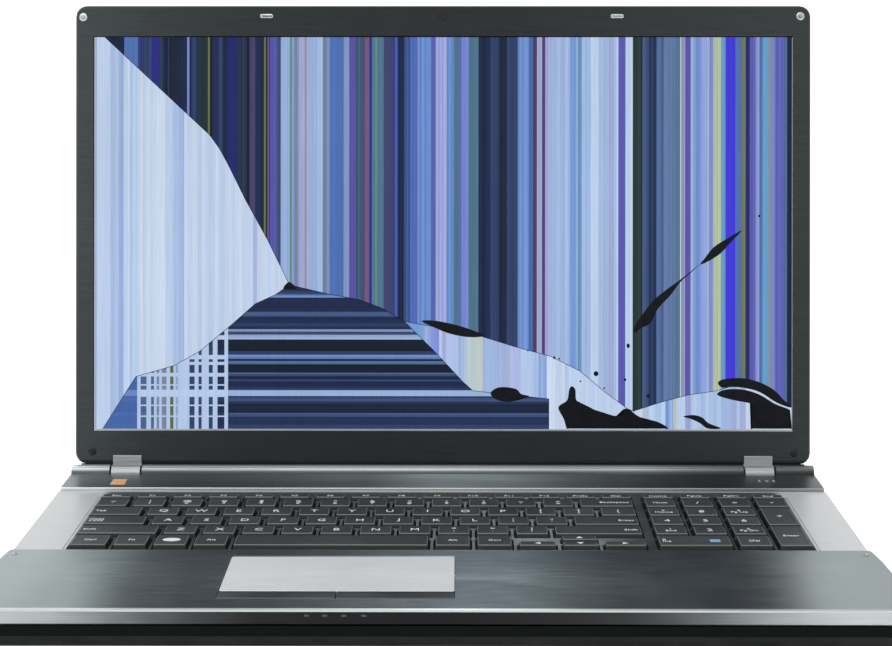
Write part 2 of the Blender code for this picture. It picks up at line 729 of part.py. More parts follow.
def number_pad_cells():
    def column(index):
        return PAD_LEFT + index * KEY_PITCH

    front = [row_limits(row)[0] for row in range(6)]
    rear = [row_limits(row)[1] for row in range(6)]
    cells = [("numpad_zero_key", column(0), column(2), front[0], rear[0])]
    cells.append((None, column(2), column(3), front[0], rear[0]))
    cells.append(("numpad_enter_key", column(3), column(4), front[0], rear[1]))
    cells.append(("numpad_plus_key", column(3), column(4), front[2], rear[3]))
    for row in range(1, 6):
        for index in range(4 if row > 3 else 3):
            cells.append((None, column(index), column(index + 1), front[row], rear[row]))
    return cells


def key_base(cell, grow=0.0):
    """Plan limits of a key's foot inside its cell."""
    _, left, right, front, rear = cell
    space = KEY_SPACE / 2 - grow
    return left + space, right - space, front + space, rear - space


def keycap(cell, bottom):
    left, right, front, rear = key_base(cell)
    outline = rounded(left, right, front, rear, KEY_CORNER, 1)
    shoulder = (KEY_TOP - KEY_EDGE, KEY_TAPER * 0.7)
    levels = [(bottom, 0.0), shoulder, (KEY_TOP, KEY_TAPER + KEY_EDGE * 0.4)]
    return loft(outline, levels)


def key_stem(cell, grow, low, high):
    left, right, front, rear = key_base(cell)
    across = (left + right) / 2
    depth = (front + rear) / 2
    half = KEY_STEM / 2 + grow
    return box(across - half, across + half, depth - half, depth + half, low, high)


def build_keyboard(case):
    cells = key_cells()
    limits = keyboard_limits(FRAME_MARGIN)
    frame = piece("keyboard_frame", box(*limits, FRAME_Z, DECK_Z), "silver", case)
    holes = [box(*key_base(cell, GAP), FRAME_Z - WALL, DECK_Z + WALL) for cell in cells]
    cut(frame, *holes)
    limits = keyboard_limits(PLATE_MARGIN)
    plate = piece("keyboard_plate", box(*limits, PLATE_Z, PLATE_TOP), "key plastic", case)
    join(plate, *[keycap(cell, PLATE_TOP - PLATE_THICKNESS / 2) for cell in cells if cell[0] is None])
    moving = [cell for cell in cells if cell[0]]
    cut(plate, *[key_stem(cell, GAP, 0.0, PLATE_TOP + GAP) for cell in moving])
    for cell in moving:
        left, right, front, rear = key_base(cell)
        origin = ((left + right) / 2, (front + rear) / 2, KEY_TOP)
        cap = piece(cell[0], keycap(cell, KEY_BOTTOM), "key plastic", case, origin=origin)
        join(cap, key_stem(cell, 0.0, PLATE_Z, KEY_BOTTOM + GAP))


def build_sockets(case):
    for name, data in SOCKETS.items():
        left, right, front, rear, low, high = socket_box(data)
        if data["side"] > 0:
            right -= WALL
        else:
            left += WALL
        body = piece(name, box(left, right, front, rear, low, high), "steel", case)
        mouth = right if data["side"] > 0 else left
        back = left if data["side"] > 0 else right
        carve_socket(body, name, data, mouth, back)


def carve_socket(body, name, data, mouth, back):
    """Cut each socket's hollow from its mouth, and leave the tongue or pin inside."""
    inward = -data["side"]
    outside = mouth - inward * WALL
    base = back - inward * WALL
    at = data["at"]
    z = PALM_Z - data["drop"]
    low = z - data["height"] / 2 + SOCKET_WALL
    high = z + data["height"] / 2 - SOCKET_WALL
    left, right = sorted((outside, base))
    if name == "audio_block":
        for offset in (-0.0045, 0.0045):
            cut(body, prism(circle((at + offset, z), 0.0018, 12), left, right, "yz"))
        return
    if name == "power_inlet":
        cut(body, prism(circle((at, z), 0.0037, 16), left, right, "yz"))
        inner, outer = sorted((base - inward * 0.0085, base + inward * GAP))
        join(body, prism(circle((at, z), 0.0011, 8), inner, outer, "yz"))
        return
    if name == "vga_socket":
        ring = [(at - 0.0082, high), (at - 0.0072, low), (at + 0.0072, low), (at + 0.0082, high)]
        core = inset(ring, 0.0008)
        inner, outer = sorted((outside, mouth + inward * 0.0055))
        cut(body, prism(ring, inner, outer, "yz"))
        inner, outer = sorted((mouth + inward * 0.0008, mouth + inward * 0.0058))
        join(body, prism(core, inner, outer, "yz"))
        return
    centres = [at]
    half = data["width"] / 2 - SOCKET_WALL
    if name == "usb_block_left":
        centres = [at - USB_SPACING / 2, at + USB_SPACING / 2]
        half = USB_MOUTH / 2
    cut(body, *[box(left, right, centre - half, centre + half, low, high) for centre in centres])
    if name == "ethernet_socket":
        return
    inner, outer = sorted((mouth + inward * 0.0012, base + inward * GAP))
    half *= 0.82
    for centre in centres:
        join(body, box(inner, outer, centre - half, centre + half, z + 0.0002, z + 0.0018))


def build_optical_drive(case):
    front = DRIVE_FRONT + 2 * GAP
    rear = DRIVE_REAR - 2 * GAP
    high = DRIVE_HIGH - GAP
    mouth = EDGE - WALL - 2 * GAP
    drive = piece("optical_drive", box(DRIVE_INNER, mouth, front, rear, DRIVE_LOW, high), "steel", case)
    wall = DRIVE_SHELL
    hollow = (DRIVE_INNER + wall, EDGE, front + wall, rear - wall, DRIVE_LOW + wall, high - wall)
    cut(drive, box(*hollow))
    run = DRIVE_SHELL + GAP
    tray_top = DRIVE_LOW + TRAY_HEIGHT
    end = mouth + 2 * GAP
    sled = box(DRIVE_INNER + 2 * run, end, front + run, rear - run, DRIVE_LOW + run, tray_top)
    tray = piece("disc_tray", sled, "black plastic", case)
    centre = ((DRIVE_INNER + mouth - GAP) / 2, (front + rear) / 2)
    cut(tray, prism(circle(centre, DISC_RADIUS, 40), tray_top - TRAY_RECESS, tray_top + WALL))
    spindle = circle(centre, SPINDLE_RADIUS, 12)
    join(tray, prism(spindle, tray_top - TRAY_RECESS - GAP, tray_top + 2 * GAP))
    plate = rectangle(DRIVE_FRONT + GAP, DRIVE_REAR - GAP, DRIVE_LOW + GAP, high)
    join(tray, prism(plate, mouth + GAP, EDGE, "yz"))
    button = rectangle(DRIVE_FRONT + 0.030, DRIVE_FRONT + 0.041, DRIVE_LOW + 0.0040, DRIVE_LOW + 0.0066)
    join(tray, loft(button, [(EDGE - 0.0005, 0.0), (EDGE + 0.0004, 0.0003)], "yz"))


def build_battery(case):
    left, right, front, rear, low, high = BATTERY
    profile = [(front, low), (rear - 0.003, low), (rear - 0.0008, low + 0.0012), (rear, low + 0.0035)]
    profile += [(rear, high), (front, high)]
    pack = piece("battery", prism(profile, left, right, "yz"), "black plastic", case)
    pitch = (right - left) / 3
    grooves = []
    for index in range(3):
        start = left + (index + 0.27) * pitch
        grooves.append(box(start, start + 0.46 * pitch, front + 0.012, front + 0.015, low - WALL, low + 0.0006))
    cut(pack, *grooves)


def build_battery_latch(case):
    left, right, front, rear = LATCH
    levels = [(FOOT_HEIGHT + GAP, 0.0004), (FOOT_HEIGHT + 0.0008, 0.0), (FLOOR_Z, 0.0)]
    body = loft(rectangle(left, right, front, rear), levels)
    latch = piece("battery_latch", body, "black plastic", case)
    pitch = (right - left) / (LATCH_RIBS + 3)
    ribs = []
    for index in range(LATCH_RIBS):
        start = left + (index + 1.7) * pitch
        rib = (start, start + 0.4 * pitch, front + 0.001, rear - 0.001)
        ribs.append(box(*rib, FOOT_HEIGHT - 0.0002, FOOT_HEIGHT + 0.001))
    join(latch, *ribs)
    slider_left = left + 0.004
    slider_right = right - 0.004
    high = FLOOR_Z + 0.0018
    join(latch, box(slider_left, slider_right, front + 0.001, rear - 0.001, FLOOR_Z - 0.0005, high))
    join(latch, box(slider_left, slider_right, rear - 0.002, BATTERY_FRONT - GAP, FLOOR_Z + GAP, high))


def build_fan(case):
    centre = (FAN_X, FAN_Y)
    wall = 0.001
    left = FAN_X - FAN_HALF
    front = FAN_Y - FAN_HALF
    body = box(left, FAN_X + FAN_HALF, front, FAN_Y + FAN_HALF, FAN_LOW, FAN_HIGH)
    housing = piece("fan_housing", body, "black plastic", case)
    inside = (FAN_LOW + wall, FAN_HIGH - wall)
    cut(housing, prism(circle(centre, FAN_RADIUS + 0.0015, 32), *inside))
    cut(housing, box(left - wall, FAN_X - 0.010, FAN_Y - FAN_RADIUS + 0.002, FAN_Y + FAN_RADIUS, *inside))
    cut(housing, prism(circle(centre, FAN_INLET, 20), FAN_HIGH - 2 * wall, FAN_HIGH + wall))
    intake = []
    for index in range(3):
        start = FAN_X - 0.014 + index * 0.009
        slot = (start, start + 0.005, FAN_Y - 0.014, FAN_Y - 0.005)
        intake.append(box(*slot, FAN_LOW - wall, FAN_LOW + 2 * wall))
    cut(housing, *intake)
    axle_top = FAN_LOW + FAN_AXLE_HEIGHT
    join(housing, prism(circle(centre, FAN_AXLE, 10), FAN_LOW + wall / 2, axle_top))
    run = 0.0006
    bottom = FAN_LOW + wall + run
    rotor = prism(impeller_outline(), bottom, FAN_HIGH - wall - run)
    impeller = piece("fan_impeller", rotor, "black plastic", case, origin=(*centre, bottom))
    cut(impeller, prism(circle(centre, FAN_AXLE + GAP, 10), FAN_LOW, axle_top + GAP))


def impeller_outline():
    """Plan of the fan wheel: blades swept round the hub, each as radius and angle."""
    bend = FAN_RADIUS - 0.006
    blade = [(FAN_HUB, 0.0), (bend, 9.0), (FAN_RADIUS, 19.0)]
    blade += [(FAN_RADIUS, 21.5), (bend, 12.5), (FAN_HUB, 6.0)]
    outline = []
    for index in range(FAN_BLADES):
        for radius, sweep in blade:
            angle = math.radians(360.0 * index / FAN_BLADES + sweep)
            outline.append((FAN_X + radius * math.cos(angle), FAN_Y + radius * math.sin(angle)))
    return outline


def build_heatsink(case):
    """Row of fins at the air outlet, with a flat pipe round the fan to the processor."""
    left = -EDGE + WALL + GAP
    right = FAN_X - FAN_HALF - GAP
    low = FAN_LOW + 0.001
    front = FAN_Y - FAN_RADIUS + 0.003
    rear = FAN_Y + FAN_RADIUS
    sink = piece("heatsink", box(left, right, front, rear, low, FAN_HIGH), "copper", case)
    pitch = (rear - front) / FIN_COUNT
    channels = []
    for index in range(FIN_COUNT):
        start = front + (index + 0.3) * pitch
        channel = (left - WALL, right + WALL, start, start + pitch * 0.6)
        channels.append(box(*channel, low + 0.001, FAN_HIGH - 0.001))
    cut(sink, *channels)
    pipe_low = FAN_HIGH - 0.0005
    pipe_rear = FAN_Y + FAN_HALF + PIPE_WIDTH + 2 * GAP
    pipe_front = pipe_rear - PIPE_WIDTH
    outer = left + 0.003
    inner = outer + PIPE_WIDTH
    start = rear - 0.030
    pipe = [(outer, start), (outer, pipe_rear - 0.003), (outer + 0.003, pipe_rear)]
    pipe += [(CPU_LEFT - 0.008, pipe_rear), (CPU_RIGHT - 0.014, CPU_REAR - 0.008)]
    pipe += [(CPU_RIGHT - 0.020, CPU_REAR - 0.014), (CPU_LEFT - 0.011, pipe_front)]
    pipe += [(inner + 0.0015, pipe_front), (inner, pipe_front - 0.0015), (inner, start)]
    join(sink, prism(pipe, pipe_low, pipe_low + PIPE_HEIGHT))
    cold_plate = (CPU_LEFT, CPU_RIGHT, CPU_FRONT, CPU_REAR, BOARD_TOP + CPU_HEIGHT + GAP)
    join(sink, box(*cold_plate, pipe_low + 2 * GAP))


def build_boards(case):
    outline = (BOARD_LEFT, BOARD_RIGHT, BOARD_FRONT, BOARD_REAR)
    board = piece("motherboard", box(*outline, BOARD_Z, BOARD_TOP), "circuit board", case)
    chip = (GRAPHICS_LEFT, GRAPHICS_LEFT + GRAPHICS_SIZE, CPU_FRONT, CPU_FRONT + GRAPHICS_SIZE)
    memory = (MEMORY_LEFT, MEMORY_LEFT + MEMORY_WIDTH)
    wireless = (WIRELESS_LEFT, WIRELESS_LEFT + WIRELESS_WIDTH)
    low = BOARD_TOP - GAP
    high = BOARD_Z + GAP
    memory_rear = CARD_SLOT_FRONT + MEMORY_SLOT_DEPTH
    wireless_rear = CARD_SLOT_FRONT + WIRELESS_SLOT_DEPTH
    card_low = BOARD_Z - CARD_DROP - CARD_THICKNESS
    join(
        board,
        box(CPU_LEFT, CPU_RIGHT, CPU_FRONT, CPU_REAR, low, BOARD_TOP + CPU_HEIGHT),
        box(*chip, low, BOARD_TOP + GRAPHICS_HEIGHT),
        box(*HEADER, low, BOARD_TOP + HEADER_HEIGHT),
        box(*memory, CARD_SLOT_FRONT, memory_rear, card_low - 2 * GAP, high),
        box(*wireless, CARD_SLOT_FRONT, wireless_rear, card_low - 2 * GAP, high),
    )
    places = [(BOARD_LEFT + 0.025, BOARD_REAR - 0.008), (BOARD_RIGHT - 0.010, BOARD_REAR - 0.008)]
    places += [(BOARD_RIGHT - 0.010, BOARD_FRONT + 0.005), (BOARD_LEFT + 0.007, BOARD_FRONT + 0.005)]
    for place in places:
        join(board, prism(circle(place, PILLAR_RADIUS, 8), FLOOR_Z + GAP, high))
    cards = {
        "memory_module": (memory, memory_rear + GAP, MEMORY_LENGTH),
        "wireless_card": (wireless, wireless_rear + GAP, WIRELESS_LENGTH),
    }
    for name, ((left, right), front, length) in cards.items():
        limits = (left + 0.001, right - 0.001, front, front + length)
        piece(name, box(*limits, card_low, card_low + CARD_THICKNESS), "circuit board", case)


def build_hard_drive(case):
    outline = rectangle(DISK_RIGHT - DISK_LENGTH, DISK_RIGHT, DISK_FRONT, DISK_REAR)
    top = FLOOR_Z + DISK_HEIGHT
    levels = [(FLOOR_Z + GAP, 0.0), (top - 0.0008, 0.0), (top, 0.0006)]
    piece("hard_drive", loft(outline, levels), "steel", case)


def build_speakers(case):
    low = FLOOR_Z + GAP
    high = low + SPEAKER_HEIGHT
    rear = SPEAKER_FRONT + SPEAKER_DEPTH
    for name, side in (("speaker_left", -1), ("speaker_right", 1)):
        left, right = mirrored_x((SPEAKER_OUTER - SPEAKER_LENGTH, SPEAKER_OUTER), side)
        speaker = piece(name, box(left, right, SPEAKER_FRONT, rear, low, high), "black plastic", case)
        centre = ((left + right) / 2, (SPEAKER_FRONT + rear) / 2)
        join(speaker, prism(circle(centre, SPEAKER_CONE, 16), high - 0.001, high + 0.002))
        cut(speaker, prism(circle(centre, SPEAKER_CONE - 0.0015, 16), high + 0.001, high + 0.003))


def build_hinge(case, lid, side):
    name = "right" if side > 0 else "left"
    start = HINGE_X - COVER_WIDTH / 2 - SLOT_CLEARANCE - KNUCKLE_INWARD - KNUCKLE_LENGTH
    knuckle = BARREL_RADIUS - BARREL_WALL - GAP
    left, right = mirrored_x((start, start + KNUCKLE_LENGTH), side)
    axis = (AXIS_DEPTH, AXIS_Z)
    body = prism(circle(axis, knuckle, 20), left, right, "yz")
    bracket = piece("hinge_bracket_" + name, body, "steel", case)
    front = AXIS_DEPTH - 0.017
    leg_top = AXIS_Z - knuckle + 0.0012
    join(bracket, box(left, right, front, AXIS_DEPTH, leg_top - 0.0016, leg_top))
    join(bracket, box(left, right, front, front + 0.004, FLOOR_Z + GAP, leg_top - 0.0004))
    join(bracket, box(left, right, front, AXIS_DEPTH, FLOOR_Z + GAP, FLOOR_Z + 0.002))
    cut(bracket, prism(circle(axis, PIN_RADIUS + GAP, 16), left - WALL, right + WALL, "yz"))
    build_hinge_arm(lid, side, name, start)
    build_hinge_cover(lid, side, name)


def build_hinge_arm(lid, side, name, start):
    """Pin on the axis, web up through the cover, and the long plate beside the panel."""
    left, right = mirrored_x((start, HINGE_X + COVER_WIDTH / 2 - BARREL_WALL - GAP), side)
    pin = prism(circle((0.0, 0.0), PIN_RADIUS, 16), left, right, "yz")
    arm = piece("hinge_arm_" + name, pin, "steel", lid)
    plate = 0.0011
    half = 0.001
    inner = HINGE_X - 0.001
    left, right = mirrored_x((inner, inner + 0.006), side)
    front = COVER_BACK - 0.0018
    top = COVER_TOP - GAP
    foot = [(0.0, -half), (front, -half), (front, top)]
    foot += [(front - plate, top), (front - plate, half), (0.0, half)]
    join(arm, prism(foot, left, right, "yz"))
    depth = BACKLIGHT_Y + 0.0004
    low = top - 0.0012
    join(arm, box(left, right, front - plate, depth + plate, low, top))
    edge = PANEL_EDGE + GAP
    outer = edge + 0.0042
    high = PANEL_BASE - 0.0027
    reach = LID_EDGE + 0.1042
    outline = [(inner, low), (outer, low), (outer, reach), (edge, reach), (edge, high), (inner, high)]
    outline = [(side * x, z) for x, z in outline]
    join(arm, prism(outline if side > 0 else outline[::-1], depth, depth + plate, "xz"))


def build_hinge_cover(lid, side, name):
    half = COVER_WIDTH / 2
    left, right = mirrored_x((HINGE_X - half, HINGE_X + half), side)
    front = FACE_OFFSET - COVER_PROUD
    start = math.degrees(math.acos(front / BARREL_RADIUS))
    outline = [(COVER_BACK, 0.0), (COVER_BACK, COVER_TOP - 0.0005), (COVER_BACK - 0.0005, COVER_TOP)]
    outline += [(front + 0.0004, COVER_TOP), (front, COVER_TOP - 0.0004)]
    outline += arc((0.0, 0.0), BARREL_RADIUS, start, 335, 14)
    body = prism(outline, left, right, "yz")
    cover = piece("hinge_cover_" + name, body, "silver", lid, smooth=True)
    thin = BARREL_WALL - 0.0001
    hollow = arc((0.0, 0.0), BARREL_RADIUS - thin, 60, 360, 12)
    hollow += [(COVER_BACK + WALL, 0.0), (COVER_BACK + WALL, COVER_TOP + WALL)]
    hollow.append((front + thin, COVER_TOP + WALL))
    cut(cover, prism(hollow, left + thin, right - thin, "yz"))
    left, right = mirrored_x((HINGE_X - COVER_WIDTH, HINGE_X), side)
    cut(cover, prism(circle((0.0, 0.0), PIN_RADIUS + GAP, 16), left, right, "yz"))


def lid_notches():
    """Cut-outs in the lid's lower edge that the hinge covers fill."""
    notches = []
    for side in (-1, 1):
        reach = COVER_WIDTH / 2 + GAP
        left, right = mirrored_x((HINGE_X - reach, HINGE_X + reach), side)
        notches.append(box(left, right, 0.0, COVER_BACK + GAP, 0.0, COVER_TOP + GAP))
    return notches


def build_lid_cases(lid):
    half = LID_WIDTH / 2
    outline = rounded(-half, half, LID_EDGE, LID_TOP, LID_CORNER, 4)
    levels = [(FACE_OFFSET, 0.0007), (FACE_OFFSET + 0.0006, 0.0), (BEZEL_BACK, 0.0)]
    bezel = piece("screen_bezel", loft(outline, levels, "xz"), "gunmetal", lid)
    window = rectangle(-SCREEN_WIDTH / 2, SCREEN_WIDTH / 2, SCREEN_BASE, SCREEN_BASE + SCREEN_HEIGHT)
    slope = [(FACE_OFFSET - GAP, -SCREEN_RECESS), (BEZEL_BACK + GAP, 0.0)]
    cut(bezel, loft(window, slope, "xz"))
    eye = circle((0.0, WEBCAM_Z), WEBCAM_RADIUS + GAP, 16)
    cut(bezel, prism(eye, 0.0, BEZEL_BACK + WALL, "xz"), *lid_notches())
    seam = BEZEL_BACK + GAP
    levels = [(seam, 0.0), (LID_BACK - 0.0020, 0.0), (LID_BACK - 0.0006, 0.0007), (LID_BACK, 0.0024)]
    cover = piece("lid_back_cover", loft(outline, levels, "xz"), "gunmetal", lid)
    hollow = rectangle(LID_SKIN - half, half - LID_SKIN, LID_EDGE + LID_SKIN, LID_TOP - LID_SKIN)
    cut(cover, prism(hollow, 0.0, LID_BACK - LID_SKIN, "xz"))
    cut(cover, *lid_notches())


# Crack lines from the picture's lower left corner, drawn on a picture of this width and height
DRAWN_WIDTH = 0.3821
DRAWN_HEIGHT = 0.2148
CRACK_HUB = (0.1070, 0.0791)
CRACK_FORK = (0.1699, 0.0592)
CRACK_LOW_MEET = (0.2958, 0.0101)
CRACK_UPPER_LEFT = [(0.0950, 0.1037), (0.0829, 0.1256), (0.0733, 0.1450), (0.0687, 0.1535)]
CRACK_UPPER_LEFT += [(0.0632, 0.1612), (0.0501, 0.1738), (0.0057, 0.2148)]
CRACK_LOWER_LEFT = [(0.0991, 0.0736), (0.0882, 0.0687), (0.0758, 0.0577), (0.0577, 0.0426)]
CRACK_LOWER_LEFT += [(0.0438, 0.0348), (0.0227, 0.0287), (0.0057, 0.0019)]
CRACK_ARCH = [(0.1278, 0.0742), (0.1448, 0.0711), (0.1574, 0.0665)]
CRACK_DOWNHILL = [(0.1869, 0.0424), (0.2022, 0.0260), (0.2077, 0.0211), (0.2334, 0.0183)]
CRACK_DOWNHILL += [(0.2493, 0.0167)]
CRACK_STRIP_TOP = [(0.2099, 0.0517), (0.2302, 0.0454), (0.2504, 0.0400), (0.2663, 0.0320)]
CRACK_STRIP_TOP += [(0.2800, 0.0205), (0.2926, 0.0112)]
CRACK_RIGHT = [(0.3112, 0.0151), (0.3254, 0.0189), (0.3416, 0.0213), (0.3577, 0.0265)]
CRACK_RIGHT += [(0.3741, 0.0167)]


def screen_point(across, up):
    """A point of the drawn picture on the real one, in the lid's frame."""
    return ((across / DRAWN_WIDTH - 0.5) * SCREEN_WIDTH, SCREEN_BASE + up / DRAWN_HEIGHT * SCREEN_HEIGHT)


def build_glass(lid):
    """Five shards, each bounded by the crack lines that it shares with its neighbours."""
    def cracks(*points):
        return [screen_point(*point) for point in points]

    def edge_point(across, height):
        return (screen_point(across, 0.0)[0], height)

    low = PANEL_BASE
    high = PANEL_TOP
    far = PANEL_EDGE
    top_end = edge_point(0.0025, high)
    left_end = edge_point(0.0026, low)
    drop_end = edge_point(CRACK_DOWNHILL[-1][0], low)
    meet_end = edge_point(0.2985, low)
    right_end = (far, screen_point(0.0, 0.0105)[1])
    hub = cracks(CRACK_HUB)
    fork = cracks(CRACK_FORK)
    meet = cracks(CRACK_LOW_MEET)
    upper_left = cracks(*CRACK_UPPER_LEFT)
    lower_left = cracks(*CRACK_LOWER_LEFT)
    arch = cracks(*CRACK_ARCH)
    downhill = cracks(*CRACK_DOWNHILL)
    strip_top = cracks(*CRACK_STRIP_TOP)
    right = cracks(*CRACK_RIGHT)
    shards = {
        "glass_left_shard": [left_end] + lower_left[::-1] + hub + upper_left + [top_end, (-far, high), (-far, low)],
        "glass_lower_shard": [left_end, drop_end] + downhill[::-1] + fork + arch[::-1] + hub + lower_left,
        "glass_main_shard": hub + arch + fork + strip_top + meet + right + [right_end, (far, high), top_end]
        + upper_left[::-1],
        "glass_strip_shard": [drop_end, meet_end] + meet + strip_top[::-1] + fork + downhill,
        "glass_corner_shard": [meet_end, (far, low), right_end] + right[::-1] + meet,
    }
    half = CRACK_WIDTH / 2
    for name, outline in shards.items():
        body = loft(outline, [(GLASS_Y, half), (GLASS_Y + GLASS_THICKNESS, half)], "xz")
        piece(name, body, "glass", lid)


def build_lid_inside(lid):
    panel = (-PANEL_EDGE, PANEL_EDGE, BACKLIGHT_Y, BACKLIGHT_BACK, PANEL_BASE, PANEL_TOP)
    piece("backlight_panel", box(*panel), "steel", lid)
    front = BEZEL_BACK + GAP
    board = box(-0.020, 0.020, front, front + 0.0013, PANEL_TOP + GAP, LID_TOP - LID_SKIN - GAP)
    camera = piece("webcam_module", board, "black plastic", lid)
    barrel = circle((0.0, WEBCAM_Z), WEBCAM_RADIUS, 16)
    join(camera, prism(barrel, FACE_OFFSET + GAP, front + 0.0005, "xz"))


def build_display_cable(lid):
    """Cable from the panel's lower edge along the lid and down into the left hinge barrel."""
    curve = bpy.data.curves.new("display_cable", "CURVE")
    curve.dimensions = "3D"
    curve.bevel_depth = 0.0009
    curve.bevel_resolution = 2
    curve.use_fill_caps = True
    deep = 0.0075
    run = 0.0140
    end = -HINGE_X + 0.0050
    route = [(-0.0400, deep, PANEL_BASE - 0.0008), (-0.0405, deep, 0.0175), (-0.0450, deep, run + 0.0005)]
    route += [(-0.0900, deep, run), (end + 0.0326, deep, run), (end + 0.0086, 0.0072, 0.0130)]
    route += [(end + 0.0008, 0.0058, 0.0108), (end, 0.0040, 0.0080), (end, 0.0032, 0.0040)]
    spline = curve.splines.new("POLY")
    spline.points.add(len(route) - 1)
    for point, place in zip(spline.points, route):
        point.co = (*place, 1.0)
    cable = bpy.data.objects.new("display_cable", curve)
    cable.data.materials.append(finish_material("black plastic"))
    cable.parent = lid
    bpy.context.scene.collection.objects.link(cable)


def build_laptop():
    clear_scene()
    case = empty("case", (0.0, -DEPTH_ALL / 2, 0.0))
    lid = empty("lid", (0.0, AXIS_DEPTH, AXIS_Z), case, LID_LEAN)
    build_bottom_shell(case)
    build_service_cover(case)
    build_top_deck(case)
    build_palm_rest(case)
    build_touchpad(case)
    build_rear_strip(case)
    build_power_button(case)
    build_keyboard(case)
    build_sockets(case)
    build_optical_drive(case)
    build_battery(case)
    build_battery_latch(case)
    build_fan(case)
    build_heatsink(case)
    build_boards(case)
    build_hard_drive(case)
    build_speakers(case)
    for side in (-1, 1):
        build_hinge(case, lid, side)
    build_lid_cases(lid)
    build_glass(lid)
    build_lid_inside(lid)
    build_display_cable(lid)


build_laptop()
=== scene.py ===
"""Looks of the broken laptop: finishes, the shattered picture, keycaps with legends, small trim and a studio."""
import json
import math
import random

import bmesh
import bpy
from mathutils import Matrix, Vector


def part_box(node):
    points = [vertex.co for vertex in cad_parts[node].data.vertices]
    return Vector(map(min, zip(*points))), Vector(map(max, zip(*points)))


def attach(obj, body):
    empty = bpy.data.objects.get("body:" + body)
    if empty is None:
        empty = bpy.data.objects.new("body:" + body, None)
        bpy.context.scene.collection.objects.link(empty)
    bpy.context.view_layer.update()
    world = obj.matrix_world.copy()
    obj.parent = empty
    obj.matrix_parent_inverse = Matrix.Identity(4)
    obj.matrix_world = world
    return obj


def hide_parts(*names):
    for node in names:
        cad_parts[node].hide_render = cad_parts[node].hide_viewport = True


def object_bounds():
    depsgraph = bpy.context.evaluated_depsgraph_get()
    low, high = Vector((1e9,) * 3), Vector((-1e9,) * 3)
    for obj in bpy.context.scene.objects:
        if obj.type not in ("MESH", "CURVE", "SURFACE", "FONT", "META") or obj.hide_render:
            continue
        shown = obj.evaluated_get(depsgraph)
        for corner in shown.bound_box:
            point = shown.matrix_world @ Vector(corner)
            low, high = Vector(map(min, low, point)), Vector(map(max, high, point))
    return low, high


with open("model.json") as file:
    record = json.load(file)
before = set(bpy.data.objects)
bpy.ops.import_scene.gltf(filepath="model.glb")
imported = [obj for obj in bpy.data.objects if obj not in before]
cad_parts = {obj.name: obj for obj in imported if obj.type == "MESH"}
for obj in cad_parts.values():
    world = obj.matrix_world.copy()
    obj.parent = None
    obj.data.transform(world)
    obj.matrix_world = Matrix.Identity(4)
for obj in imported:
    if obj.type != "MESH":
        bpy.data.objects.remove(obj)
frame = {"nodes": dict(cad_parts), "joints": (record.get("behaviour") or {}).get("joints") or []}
cad_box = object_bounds()
nodes = frame["nodes"]
rng = random.Random(7)

# Places that the frame gives: depth counts from the front edge, the lid has its own frame
FRONT = cad_box[0].y
LID_LEAN = math.radians(9.145)
hinge = next(joint for joint in frame["joints"] if joint["name"] == "lid_hinge")
LID = Matrix.Translation(hinge["pos_m"]) @ Matrix.Rotation(-LID_LEAN, 4, "X")
LID_INVERSE = LID.inverted()
PALM_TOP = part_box("palm_rest")[1].z
DECK_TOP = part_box("top_deck")[1].z
CASE_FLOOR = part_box("service_cover")[0].z
MM = 0.001

# Camera, fitted to the photograph
CAMERA_PLACE = (0.0085, -1.0362, 0.2929)
CAMERA_PITCH = 9.145
CAMERA_YAW = 0.33
CAMERA_LENS = 86.25


def linear(code):
    """Linear colour from a hex code."""
    parts = [int(code[index:index + 2], 16) / 255 for index in (1, 3, 5)]
    return tuple(part / 12.92 if part < 0.04045 else ((part + 0.055) / 1.055) ** 2.4 for part in parts)


def mixed(first, second, share):
    return tuple(a + (b - a) * share for a, b in zip(first, second))


